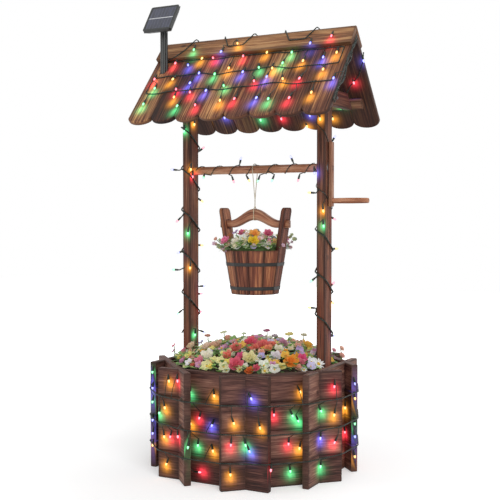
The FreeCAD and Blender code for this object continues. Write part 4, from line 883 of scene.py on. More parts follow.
CORD_R, FINE_R = 1.9, 1.35   # the light string's radius: full, and fine where the crank passes it
CORD_OFF = 2.05              # how far off the wood its middle runs
COLOURS = {"r": "red", "b": "blue", "a": "amber", "g": "green"}
POOL_TINTS = {"r": (1.0, 0.04, 0.08), "b": (0.13, 0.14, 1.0), "a": (1.0, 0.42, 0.04),
              "g": (0.08, 0.80, 0.30)}
# The pools of light that a lamp throws: (share of its reach, radius in mm, strength).
POOLS = ((1.0, 8.0, 1.1), (2.3, 13.5, 0.85), (1.6, 24.0, 0.13))
LAMP_MIDDLE = 19.0           # from a lamp's start to the middle of its cap
LAMP_OFF = 3.9               # how far off the wood a lamp's middle lies
GROOVE_OFF = 1.3             # how far off the boards' faces the cord runs where it lies in a groove
# A lamp's socket sleeve and cap, turned about its axis: (distance from its start, radius).
SLEEVE = ((0, 0.9), (0.4, 1.7), (5, 2.0), (5.4, 2.6), (14.4, 2.8), (15.0, 2.4), (15.0, 0.3))
CAP = ((14.6, 0.4), (14.8, 2.2), (16.6, 2.8), (18.8, 2.9), (21.0, 2.3), (22.4, 1.4), (23.0, 0.4))


def resampled(line, along, at):
    """A line's points at other distances along it."""
    return np.stack([np.interp(at, along, line[:, axis]) for axis in range(3)], 1)


def rounded(points, step=2.0, bend=3.0):
    """A winding's line: straight runs between its corners, sampled every step mm and smoothed by a
    bell curve of bend mm, which rounds each corner as a cord under tension does."""
    points = np.asarray(points, float)
    along = travelled(points)
    line = resampled(points, along, np.linspace(0, along[-1], int(along[-1] / step) + 1))
    reach = int(3 * bend / step) + 1
    bell = np.exp(-0.5 * (np.arange(-reach, reach + 1) * step / bend) ** 2)
    bell /= bell.sum()
    padded = np.concatenate((2 * line[0] - line[reach:0:-1], line, 2 * line[-1] - line[-2:-reach - 2:-1]))
    return np.stack([np.convolve(padded[:, axis], bell, "valid") for axis in range(3)], 1)


def frames_along(line):
    """Unit tangents and two unit normals of a line, turned as little as may be from point to
    point: each normal is the last one less its part along the new tangent."""
    way = np.gradient(line, axis=0)
    way /= np.linalg.norm(way, axis=1)[:, None]
    first = np.cross(way[0], (0.0, 0.0, 1.0) if abs(way[0][2]) < 0.9 else (1.0, 0.0, 0.0))
    normal = np.empty_like(line)
    normal[0] = first / np.linalg.norm(first)
    for k in range(1, len(line)):
        side = normal[k - 1] - way[k] * np.dot(way[k], normal[k - 1])
        normal[k] = side / np.linalg.norm(side)
    return way, normal, np.cross(way, normal)


def tube(line, radius, sides):
    """A round tube: a circle carried along a line, its radius a number or one for each point."""
    _, normal, other = frames_along(line)
    angle = (2 * np.pi * np.arange(sides) / sides)[None, :, None]
    radius = np.broadcast_to(np.asarray(radius, float), len(line))[:, None, None]
    ring = normal[:, None] * np.cos(angle) + other[:, None] * np.sin(angle)
    return carried(line[:, None] + ring * radius, 2 * np.arange(sides + 1.0), travelled(line))


def plied(line, radius, plies, pitch):
    """A cord of twisted plies: each goes round the line once in pitch mm, at a radius such that
    neighbours touch, ply = cord radius times sine over one plus sine of 180 over plies."""
    along = travelled(line)
    at = np.linspace(0, along[-1], max(4, int(along[-1] / pitch * 6)))
    radius = np.interp(at, along, np.broadcast_to(radius, len(line)))
    fine = resampled(line, along, at)
    _, normal, other = frames_along(fine)
    ratio = math.sin(math.pi / plies)
    ply = radius * ratio / (1 + ratio)
    forms = []
    for k in range(plies):
        angle = (2 * np.pi * (at / pitch + k / plies))[:, None]
        out = normal * np.cos(angle) + other * np.sin(angle)
        forms.append(tube(fine + out * (radius - ply)[:, None], ply, 5))
    return together(forms)


def slope_point(side, x, down, out):
    """A point on the front or back slope, x counted along the ridge."""
    return np.array((x, side * (down * math.cos(PITCH) + out * math.sin(PITCH)),
                     APEX - down * math.sin(PITCH) + out * math.cos(PITCH)))


def slope_way(side, x, down, out):
    """A direction on the front or back slope."""
    return slope_point(side, x, down, out) - slope_point(side, 0, 0, 0)


def lamp(place, way):
    """A lamp's socket sleeve and its drop-shaped cap, each a profile turned about a unit way."""
    side = np.cross(way, (0, 0, 1.0) if abs(way[2]) < 0.9 else (1.0, 0, 0))
    side /= np.linalg.norm(side)
    basis = np.stack((way, side, np.cross(way, side)), 1)
    made = [spun(profile, sides=10) for profile in (SLEEVE, CAP)]
    for form in made:
        form.points = form.points @ basis.T + place
    return made


def lead(start, end, lift, radius):
    """A lamp's own thin lead from the cord to its socket, bowed by lift."""
    t = np.linspace(0, 1, 10)[:, None]
    return tube(start + (end - start) * t + np.asarray(lift) * (4 * t * (1 - t)), radius, 5)


class Lights:
    """The lamps of one winding, gathered by colour with their sleeves and leads."""

    def __init__(self, lines, radius):
        self.lines = lines
        self.along = np.concatenate(lines)
        self.radius = radius
        self.sleeves = []
        self.caps = {letter: [] for letter in COLOURS}

    def place(self, middle, way, letter, lift=(0, 0, 0), reach=9.0, glow=1.0, stem=1.0):
        """A lamp whose cap lies about a place, pointing in a way, with a lead from the nearest
        point of the cord. Its pools of light lie beyond the cap, by shares of the reach."""
        way = np.asarray(way, float) / np.linalg.norm(way)
        start = np.asarray(middle, float) - way * LAMP_MIDDLE
        away = np.linalg.norm(self.along - start, axis=1)
        if away.min() > 1.5:
            self.sleeves.append(lead(self.along[away.argmin()], start + way, lift, stem))
        sleeve, cap = lamp(start, way)
        self.sleeves.append(sleeve)
        self.caps[letter].append(cap)
        for share, radius, strength in POOLS:
            LIGHT_SPOTS.append((start + way * (LAMP_MIDDLE + reach * share),
                                np.array(POOL_TINTS[letter]) * glow * strength, radius))

    def pieces(self, stem, body, wire_node, bulb_node):
        """The cord with its sleeves and leads, and the caps with one finish for each colour."""
        cord = together([plied(line, self.radius, 2, 11.0) for line in self.lines] + self.sleeves)
        piece(stem + "_cord", cord, FINISH["wire"], body, [wire_node], pools=False)
        groups = [(name, self.caps[letter]) for letter, name in COLOURS.items() if self.caps[letter]]
        quads, flats = [], []
        for index, (_, caps) in enumerate(groups):
            quads += [index] * sum(len(f.quads) for f in caps)
            flats += [index] * sum(len(f.flats) for f in caps)
        made = piece(stem + "_lamps", together([f for _, caps in groups for f in caps]),
                     [FINISH[name] for name, _ in groups], body, [bulb_node],
                     pools=False)
        made.data.polygons.foreach_set("material_index", np.array(quads + flats, np.int32))


# Every lamp seen on the front slope: (down the slope, along X, colour).
FRONT_LAMPS = (
    (-18, -40, "a"), (27, 235, "r"), (29, -174, "g"), (48, -81, "b"), (48, 182, "b"), (54, -144, "a"),
    (54, 55, "a"), (56, -108, "r"), (60, -14, "r"), (63, 130, "g"), (64, -226, "r"), (77, -179, "b"),
    (79, 260, "a"), (93, 227, "b"), (100, 173, "a"), (102, 116, "g"), (104, -42, "a"), (112, 51, "g"),
    (114, -130, "b"), (119, 92, "a"), (123, -78, "g"), (124, -269, "r"), (124, 7, "b"), (130, -207, "a"),
    (139, 240, "a"), (150, 86, "b"), (151, -144, "b"), (162, -252, "g"), (163, 54, "r"), (163, 136, "a"),
    (166, 183, "r"), (172, -179, "r"), (172, -32, "g"), (175, 278, "b"), (186, -81, "b"), (188, -129, "r"),
    (203, -173, "a"), (221, 232, "a"), (222, -263, "g"), (225, 18, "r"), (227, 82, "b"), (228, -23, "a"),
    (234, 118, "g"), (235, 176, "r"), (238, -149, "g"), (239, -93, "r"))
# Lamps under the back slope, seen below the front eave: (down the slope, along X, colour).
UNDER_LAMPS = (
    (240, 9, "r"), (140, 254, "r"), (225, -170, "b"), (234, 99, "b"), (248, 134, "a"), (249, 164, "a"),
    (270, 80, "a"), (240, -57, "g"), (204, 205, "g"), (77, 297, "b"))
# Lamps on the wall, by board from the one on +X and anticlockwise: (along the board, height,
# colour). Those beyond a board's length hang on its end.
WALL_LAMPS = {
    0: ((-97, 43, "g"), (-98, 115, "b"), (63, 98, "r"), (64, 163, "a"), (162, 127, "a"), (162, 166, "b")),
    1: ((-162, 41, "a"), (-162, 195, "a"), (-162, 128, "g"), (-162, 234, "b"), (-162, 94, "b")),
    4: ((162, 176, "g"), (162, 213, "b"), (162, 91, "b"), (162, 59, "a"), (162, 256, "g"),
        (162, 127, "b")),
    5: ((104, 255, "r"), (106, 113, "r"), (162, 98, "g")),
    6: ((-120, 109, "r"), (-123, 252, "a"), (-132, 37, "a"), (-136, 182, "a"), (-138, 107, "a"),
        (-153, 167, "g"), (-31, 29, "r"), (-33, 166, "r"), (-37, 96, "g"), (-59, 149, "a"),
        (-60, 228, "g"), (100, 112, "g"), (11, 226, "a"), (111, 98, "b"), (116, 228, "b"), (140, 159, "a"),
        (162, 55, "r"), (4, 151, "b"), (7, 87, "a")),
    7: ((-127, 168, "a"), (-135, 115, "r"), (-136, 42, "a"), (-24, 182, "r"), (101, 184, "g"),
        (136, 172, "a"), (136, 244, "r"), (137, 102, "r"), (14, 107, "r"), (19, 38, "g"), (25, 177, "g"),
        (40, 163, "g"), (43, 94, "a"), (45, 236, "a"))}
# Lamps that lie against a post: (x, y, z, colour).
POST_LAMPS = {
    -1: ((-209, -27, 909, "g"), (-188, -6, 929, "a"), (-188, -25, 803, "a"), (-188, -16, 783, "r"),
         (-197, -27, 626, "g"), (-190, -27, 530, "a"), (-188, -5, 341, "g")),
    1: ((188, -26, 784, "b"), (213, -27, 687, "a"), (203, -27, 923, "a"), (214, -27, 648, "g"))}
# Lamps that stand out from a post in the air: (x, y, z, degrees up, colour), to the side they
# are on.
POST_STUBS = {
    -1: ((-180, 30, 867, 40, "r"), (-242, -38, 804, 5, "b"), (-183, 28, 716, -35, "a"),
         (-230, -31, 660, -45, "r"), (-184, 28, 592, -5, "a"), (-227, -30, 572, -20, "b"),
         (-239, -37, 525, 2, "g"), (-178, 32, 477, 4, "b"), (-186, 28, 455, 4, "r"),
         (-187, 27, 404, 40, "r"), (-229, -31, 401, -40, "g"), (-177, 32, 345, -20, "b")),
    1: ((214, 46, 884, 60, "b"), (175, -32, 735, 3, "a"), (222, 28, 666, -30, "r"), (227, 30, 589, 3, "a"),
        (220, 26, 499, 45, "r"), (180, -30, 505, -40, "g"), (218, 26, 446, -40, "a"),
        (176, -32, 437, 5, "a"), (223, 28, 360, 5, "b"))}
# Lamps on the axle: (x, degrees up from its front, colour).
AXLE_LAMPS = (
    (-147, -40, "g"), (-67, -95, "r"), (-40, 80, "b"), (-25, -115, "a"), (10, -85, "g"), (54, -80, "g"),
    (111, 75, "b"), (127, -95, "r"))

ROWS = (54, 116, 178)            # how far down a slope the cord's rows run
ROW_HALF = ROOF_HALF - 18
RIDGE_LOOPS = 5
CRANK_FOOT = 642                 # the cord on the right post is fine above this height
AXLE_COIL_HALF, AXLE_COIL_PITCH = 180, 57
TWINE_IN = 13.8                  # inner radius of the bucket string's turn over the axle
JOIN, KNOT_TOP, KNOT_LOW = 722.0, 701.2, 695.2   # where its strands meet, and its knot


def roof_row(side, down, way):
    """A row along a slope from edge to edge. It wanders a little, by a sum of two slow sines that
    calm down at its ends and at the stake."""
    x = np.linspace(-way * ROW_HALF, way * ROW_HALF, 40)
    calm = np.clip((ROW_HALF - np.abs(x)) / 40, 0, 1)
    if side < 0 and down == ROWS[0]:
        calm = calm * np.clip(np.abs(x - STAKE_X) / 40 - 0.5, 0, 1)
    wander = calm * (4.0 * np.sin(x / 37 + down) + 3.0 * np.sin(x / 17 + 2 * down))
    if down == ROWS[0]:
        wander = np.maximum(wander, 1.0)
    return [slope_point(side, a, down + b, CORD_OFF) for a, b in zip(x, wander)]


def roof_winding():
    """The cord's corners on the roof: rows to and fro down one slope, loops over the ridge, rows on
    the other. At the ridge and at the ridge boards' lower edges the corners stand off by so much
    more that the rounded cord still clears the wood."""
    ridge = APEX + CAP_THICK / math.cos(PITCH) + CORD_OFF + 4 * (1 / math.cos(PITCH) - 1)
    on_board = (CAP_WIDTH / 2, CAP_THICK + CORD_OFF)
    edge_off = (CORD_OFF + 4 * (math.sqrt(2) - 1)) / math.sqrt(2)
    edge = (CAP_WIDTH + edge_off, CAP_THICK + edge_off)
    points = []
    for k, down in enumerate(reversed(ROWS)):
        points += roof_row(-1, down, 1 if k % 2 else -1)
    step = 2 * ROW_HALF / (RIDGE_LOOPS + 1)
    x, side = points[-1][0], -1
    heading = 1 if x < 0 else -1
    points.append(slope_point(-1, x + heading * step / 2, *edge))
    for _ in range(RIDGE_LOOPS):
        x += heading * step
        points += [slope_point(side, x - heading * step / 4, *on_board), np.array((x, 0, ridge)),
                   slope_point(-side, x + heading * step / 4, *on_board)]
        side = -side
    points.append(slope_point(1, x + heading * step / 2, *edge))
    for k, down in enumerate(ROWS):
        points += roof_row(1, down, heading if k % 2 else -heading)
    return points


def gable_strands():
    """Three slack strands down the right-hand edge of the front slope, crossing one another, and
    the strand that goes on from them under the back slope."""
    down = np.linspace(22, 246, 60)
    lines = []
    for k in range(3):
        x = ROOF_HALF + 4.2 + 2.2 * np.sin(down / (21 + 9 * k) + 2 * k)
        out = -4 * k + 2 + 5 * np.cos(down / (26 - 7 * k) + k)
        lines.append(np.array([slope_point(-1, *each) for each in zip(x, down, out)]))
    under = -ROOF_THICK - CORD_OFF
    below = -ROOF_THICK - BATTEN_THICK - CORD_OFF
    turns = ((ROOF_HALF + 3, 60, 0), (ROOF_HALF + 3, 76, under - 2), (272, 120, under),
             (240, 150, under), (215, 185, below), (205, 217, below), (186, 224, under),
             (110, 218, under), (0, 224, under), (-90, 218, under), (-170, 222, under),
             (-262, 219, under))
    lines.append(np.array([slope_point(1, *each) for each in turns]))
    return [rounded(line, bend=5.0) for line in lines]


def over_roof(down):
    """How far off the roof boards a lamp's middle lies: more where it lies on a ridge board."""
    return LAMP_OFF + (CAP_THICK if down < CAP_WIDTH + 4 else 0)


def roof_lights():
    """The roof's cord, a lamp wherever one is seen in front or under the back slope, and as many on
    top of the back slope."""
    lights = Lights([rounded(roof_winding())] + gable_strands(), sizes_set().cord_radius / MM)
    draw = np.random.default_rng(3)
    for down, x, letter in FRONT_LAMPS:
        turn = draw.uniform(1.1, 2.0) if abs(x) < 225 else 1.6
        lights.place(slope_point(-1, x, max(down, 20), over_roof(down)),
                     slope_way(-1, math.cos(turn), math.sin(turn), 0), letter,
                     lift=slope_way(-1, *draw.uniform(-9, 9, 2), 3))
    for down, x, letter in UNDER_LAMPS:
        batten = BATTENS[1] - 6 < down < BATTENS[1] + BATTEN_WIDTH + 4
        out = -ROOF_THICK - 4 - (BATTEN_THICK if batten else 0)
        lights.place(slope_point(1, x, down, out), (0.25, 0.1, -1), letter, lift=(0, 0, -4),
                     reach=3.0, glow=0.8)
    for k in range(40):
        row, place = divmod(k, 10)
        x = (place - 4.5) * 56 + draw.uniform(-16, 16)
        down = 52 + 56 * row + draw.uniform(-13, 13)
        turn = draw.uniform(0.9, 2.2)
        lights.place(slope_point(1, x, down, over_roof(down)),
                     slope_way(1, math.cos(turn), math.sin(turn), 0), "rbagrbga"[k % 8],
                     lift=slope_way(1, 0, 0, 2))
    lights.pieces("roof_light", "frame", "roof_light_wire", "roof_bulbs")


def post_winding(side, tops, offs):
    """Corner points of a winding down a post from its left front corner, at these heights and, turn
    by turn, this far off the wood. The fall goes with the distance round the post."""
    left, right = (-POST_OUT, -POST_IN) if side < 0 else (POST_IN, POST_OUT)
    half, thick = POST_WIDTH / 2, POST_OUT - POST_IN
    front = thick / (2 * (thick + POST_WIDTH))
    points = []
    for top, following, off in zip(tops, tops[1:], offs):
        corners = ((left - off, -half - off), (right + off, -half - off),
                   (right + off, half + off), (left - off, half + off))
        points += [(x, y, top - part * (top - following))
                   for (x, y), part in zip(corners, (0, front, 0.5, 0.5 + front))]
    return points + [(*corners[0], tops[-1])]


def post_lights():
    """The windings down both posts, with lamps against the wood, standing out, and behind."""
    fine, full = sizes_set().fine_cord_radius / MM, sizes_set().post_cord_radius / MM
    on_fine, on_full = fine + 0.1, full + 0.15
    for side, name, tops, offs in (
            (-1, "left_post", [922 - 115 * k for k in range(6)], [on_full] * 5),
            (1, "right_post", [915, 750, 640, 530, 420, 310], [on_fine] * 2 + [on_full] * 3)):
        line = rounded(post_winding(side, tops, offs))
        high = (line[:, 2] > CRANK_FOOT) & (side > 0)
        lights = Lights([line], np.where(high, fine, full))
        for x, y, z, letter in POST_LAMPS[side]:
            lights.place((x, y, z), (0.1 * side, 0, -1), letter, lift=(0, -1.5, 0), reach=0.0, glow=0.9)
        for x, y, z, degrees, letter in POST_STUBS[side]:
            up = math.radians(degrees)
            across = math.cos(up) * math.copysign(1, x - side * (POST_IN + POST_OUT) / 2)
            way = (across * math.cos(VIEW), across * math.sin(VIEW), math.sin(up))
            lights.place((x, y, z), way, letter, lift=(0, 0, -1.5), reach=5.0, glow=0.5, stem=1.7)
        for k, letter in enumerate("bgarb"):
            middle = (side * (POST_IN + 12), POST_WIDTH / 2 + LAMP_OFF, 880 - 115 * k)
            lights.place(middle, (0, 0.1, -1), letter, reach=5.0, glow=0.7)
        lights.pieces(name + "_light", "frame", name + "_light_wire", name + "_bulbs")


def axle_lights():
    """A helix along the axle, y = -r cos a, z = r sin a, and its lamps. The cord is thinner by a
    bell curve in the middle, where the twine of the bucket swings over it."""
    quarters = int(2 * AXLE_COIL_HALF / AXLE_COIL_PITCH * 4)
    turn = np.linspace(0, quarters * np.pi / 2, 400)
    x = -AXLE_COIL_HALF + turn / (2 * np.pi) * AXLE_COIL_PITCH
    cord = sizes_set().fine_cord_radius / MM * (1 - 0.4 * np.exp(-(x / 11) ** 2))
    radius = AXLE_R + cord + 0.1
    line = np.stack((x, -radius * np.cos(turn), AXLE_Z + radius * np.sin(turn)), 1)
    lights = Lights([line], cord)
    for x, degrees, letter in AXLE_LAMPS:
        out = np.array((0, -math.cos(math.radians(degrees)), math.sin(math.radians(degrees))))
        lights.place(np.array((x, 0, AXLE_Z)) + out * 32, out + (0.35 if x < 0 else -0.35, 0, 0),
                     letter, stem=1.4)
    for x, letter in zip((-110, 30, 85, 160), "barg"):
        out = np.array((0, 1, 0.08))
        lights.place(np.array((x, 0, AXLE_Z)) + out * 32, out + (0.2, 0, 0), letter)
    lights.pieces("axle_light", "windlass", "axle_light_wire", "axle_bulbs")


def wall_winding():
    """Three turns round the sixteen board ends, each in the groove between two courses, then a
    climb. No point lies so far back that the cord would leave the CAD's box."""
    lean = math.atan2(BOARD_HALF, APOTHEM)
    groove = (APOTHEM + GROOVE_OFF) / math.cos(lean)
    proud = (APOTHEM + CORD_OFF) / math.cos(lean)
    furthest = BOUNDS_BEFORE[1][1] / MM - CORD_R - 0.3
    lean = math.degrees(lean)
    angles = sorted([45 * k - lean + 45 for k in range(8)] + [45 * k + lean for k in range(8)])
    points = []
    for ring in range(3):
        z = RIM - (ring + 1) * COURSE
        for k, angle in enumerate(angles):
            way = math.radians(angle + 90)
            climb = COURSE * max(0, k - len(angles) + 3) / 4
            reach = min(proud if climb else groove, furthest / abs(math.sin(way)))
            points.append((reach * math.cos(way), reach * math.sin(way), z - climb))
    return points


def wall_lights():
    """The wall's cord, a lamp wherever one is seen, and as many round the far side. A lamp on a
    board's end hangs down, one at the foot lies along the board, the others sway."""
    lights = Lights([rounded(wall_winding())], sizes_set().cord_radius / MM)
    draw = np.random.default_rng(5)
    lamps = [(board, *seen) for board, group in WALL_LAMPS.items() for seen in group]
    for k in range(42):
        height = (48, 120, 189, 100, 236, 168, 60, 130)[k % 8] + draw.uniform(-10, 10)
        lamps.append(((1, 2, 3)[k % 3], -130 + 260 * (k // 3 + 0.5) / 14, height, "rbgagbar"[k % 8]))
    for board, along, z, letter in lamps:
        turn = math.radians(45 * board)
        out = np.array((math.cos(turn), math.sin(turn), 0))
        ahead = np.array((-math.sin(turn), math.cos(turn), 0))
        off, way = APOTHEM + LAMP_OFF, ahead * draw.uniform(-0.5, 0.5) - (0, 0, 1)
        if abs(along) > BOARD_HALF:
            off, way = APOTHEM - BOARD_THICK / 2, out * 0.2 - (0, 0, 1)
            along = math.copysign(BOARD_HALF + LAMP_OFF, along)
        if z < 32:
            way = ahead
        lights.place(out * off + ahead * along + (0, 0, z), way, letter, lift=out * 2.5, reach=4.0)
    lights.pieces("wall_light", "frame", "well_light_wire", "well_bulbs")


def bucket_string():
    """Cotton twine: half a turn over the axle, two strands that meet, a knot, a loop on the bail."""
    twine = sizes_set().twine_radius / MM
    wrap_r = TWINE_IN + twine
    angle = np.linspace(math.pi, 0, 30)
    over = np.stack((0 * angle, wrap_r * np.cos(angle), AXLE_Z + wrap_r * np.sin(angle)), 1)
    piece("string_over_axle", plied(over, twine, 3, 5.0), FINISH["twine"], "axle_turn_of_string",
          ["string_wrap"], pools=False)
    strands = []
    for side in (-1, 1):
        ends = ((0, side * wrap_r, AXLE_Z - 0.3), (0, side * 0.9, JOIN))
        strands.append(plied(rounded(ends, 1.0, 1.0), twine, 3, 5.0))
    both = ((0, 0, JOIN + 3), (0, 0, KNOT_TOP))
    strands.append(plied(rounded(both, 1.0, 1.0), twine + 0.4, 2, 7.0))
    made = piece("string_pair", together(strands), FINISH["twine"], "string", ["string_strands"],
                 pools=False)
    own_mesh(made)
    t = np.linspace(0, 2 * np.pi, 60)
    tie = np.stack((1.5 * np.sin(2 * t) + 0.4 * np.cos(t), 1.6 * np.cos(3 * t),
                    (KNOT_TOP + KNOT_LOW) / 2 + 1.9 * np.sin(t)), 1)
    piece("string_knot_turns", tube(tie, 1.0, 7), FINISH["twine"], "knot", ["string_knot"],
          pools=False)
    loops = []
    for x in (-0.6, 0.6):
        ring = ((x, 0, 695.4), (x, 7.9, 695.0), (x, 7.9, 663.3), (x, 0, 663.0), (x, -7.9, 663.3),
                (x, -7.9, 695.0), (x, 0, 695.4))
        loops.append(plied(rounded(ring, 0.7, 1.2), 0.6, 3, 4.0))
    piece("string_round_bail", together(loops), FINISH["twine"], "bucket", ["bail_string_loop"],
          pools=False)


# Planting

GOLDEN_ANGLE = 2.39996
HEAP_TOP, HEAP_FALL, HEAP_R = 343, 43, 205     # the well's planting is a dome
BED_R = 213                                    # how far out in the well anything is planted
STALK_FOOT = 315
BACK_FROM = 50                                 # flowers further back than this face backwards
MOUND_FOOT, MOUND_R, MOUND_TALL = 575, 73, 34  # the leaves under the bucket's flowers


def sheet(grid):
    """A thin form over a grid of points, with one face between every four."""
    rows, columns = grid.shape[:2]
    index = np.arange(rows * columns).reshape(rows, columns)
    return Form(grid, np.stack((index[:-1, :-1], index[1:, :-1], index[1:, 1:], index[:-1, 1:]), -1))


def petal(length, width, cup, curl):
    """One petal along X: half width = width/2 times sine(pi (0.08 + 0.86 u^1.25))^0.7, which leaves a
    full tip, height = length (cup u^2 + curl v^2 u), u along it from 0 to 1, v across it from -1
    to 1."""
    u, v = np.meshgrid(np.linspace(0, 1, 4), np.linspace(-1, 1, 3), indexing="ij")
    half = width / 2 * np.clip(np.sin(np.pi * (0.08 + 0.86 * u ** 1.25)), 0, 1) ** 0.7
    return sheet(np.stack((length * u, half * v, length * (cup * u ** 2 + curl * v ** 2 * u)), -1))


def dome(radius, height, sides=8):
    """A flower's eye: rings at heights h sin a and radii r cos a."""
    rise = np.linspace(0, math.pi / 2 * 0.9, 4)
    around = 2 * np.pi * np.arange(sides) / sides
    across = radius * np.cos(rise)[:, None]
    rings = np.stack((across * np.cos(around), across * np.sin(around),
                      np.repeat(height * np.sin(rise)[:, None], sides, 1)), -1)
    return carried(rings, np.arange(sides + 1.0), rise)


def spiral(k, count, reach, twist=1.0):
    """Point k of a count spread evenly over a disc: its distance from the middle is reach times
    root((k + 0.5) / count), and it is turned on from the last by the golden angle times twist."""
    return reach * math.sqrt((k + 0.5) / count), k * GOLDEN_ANGLE * twist


# Each kind of flower: layers, petals in a layer, cup, width as a share of the length.
KINDS = {"double": (4, 6, 0.35, 0.85), "daisy": (1, 11, 0.1, 0.36), "open": (1, 5, 0.25, 0.95),
         "rose": (3, 5, 0.6, 1.0)}


class Planting:
    """Petals, eyes and leaves with the tint of each, gathered into one piece."""

    def __init__(self, seed):
        self.draw = np.random.default_rng(seed)
        self.forms, self.tints = [], []

    def put(self, form, tint, varied=0.08, brighter=0.0):
        """Adds a form, its tint raised to 0.72, which pales it, and varied a little."""
        shade = np.array(linear(tint)) ** 0.72 * (1 + brighter + self.draw.uniform(-varied, varied))
        self.forms.append(form)
        self.tints.append(np.repeat(np.clip(shade, 0, 1)[None], len(form.points), 0))

    def face(self, form, place, up, tint, brighter=0.0):
        """Adds a form drawn along Z, turned to face up and moved to its place."""
        up = np.asarray(up, float) / np.linalg.norm(up)
        side = np.cross(up, (0.3, 1.0, 0.1))
        side /= np.linalg.norm(side)
        form.points = form.points @ np.stack((side, np.cross(up, side), up)) + place
        self.put(form, tint, brighter=brighter)

    def bloom(self, place, up, radius, kind, tint):
        """A flower that faces up: layers of petals round an eye. Each layer is shorter, stands more
        upright and is turned by half a petal. An umbel is a low dome of florets instead."""
        if kind == "umbel":
            self.face(dome(radius, radius * 0.45, 11), place, up, tint)
            for k in range(9):
                out = radius * (0.75 if k % 3 else 0.3)
                floret = dome(radius * 0.3, radius * 0.25, 5).moved(out, 0, radius * 0.22)
                self.face(floret.turned(k * 40), place, up, tint)
            return
        layers, petals, cup, width = KINDS[kind]
        forms = []
        for layer in range(layers):
            share = 1 - layer / (layers + 0.6)
            for k in range(petals):
                one = petal(radius * share, width * radius * (0.5 + 0.5 * share),
                            cup + 0.5 * layer / layers, self.draw.uniform(-0.05, 0.16))
                one = one.turned(-self.draw.uniform(2, 12) - 22 * layer, 1).moved(0, 0, 1.2 * layer)
                turn = (k + 0.5 * layer) * 360 / petals + self.draw.uniform(-7, 7)
                forms.append(one.turned(turn))
        self.face(together(forms), place, up, tint)
        single = layers == 1
        eye = radius * (0.3 if kind == "daisy" else 0.16)
        self.face(dome(eye, eye * 0.8).moved(0, 0, 1.0), place, up, "e8b830" if single else tint,
                  0 if single else -0.5)

    def leaf(self, place, way, length, width, tint):
        """A pointed leaf, its halves folded up along the rib and its tip bent down: half width =
        width/2 times sine(pi u^0.8)^0.9, height = 0.22 |v| half width - 0.3 length u^2.2."""
        u, v = np.meshgrid(np.linspace(0, 1, 5), np.linspace(-1, 1, 3), indexing="ij")
        half = width / 2 * np.sin(np.pi * u ** 0.8) ** 0.9
        form = sheet(np.stack((length * u, half * v,
                               0.22 * np.abs(v) * half - 0.3 * length * u ** 2.2), -1))
        way = np.asarray(way, float) / np.linalg.norm(way)
        side = np.cross((0, 0, 1.0), way)
        side /= max(np.linalg.norm(side), 1e-6)
        form.points = form.points @ np.stack((way, side, np.cross(way, side))) + place
        self.put(form, tint, 0.25)

    def stalk(self, start, end, radius, tint, bow):
        """A thin stalk, bowed sideways."""
        t = np.linspace(0, 1, 6)[:, None]
        bowed = np.array((bow, bow * 0.5, 0)) * 4 * t * (1 - t)
        self.put(tube(np.asarray(start) + (np.asarray(end) - start) * t + bowed, radius, 5), tint)

    def piece(self, name, body, node):
        """Makes the finished piece, with its tints."""
        made = piece(name, together(self.forms), FINISH["petal"], body, [node],
                     sharp=180, pools=False)
        made.data.attributes.new("tint", "FLOAT_COLOR", "POINT").data.foreach_set(
            "color", np.concatenate(self.tints).astype(np.float32).reshape(-1))


GREENS = ("4a7a2c", "6a9c40", "86b455", "335c24", "98c468")
STALK_GREEN = "6b8f45"
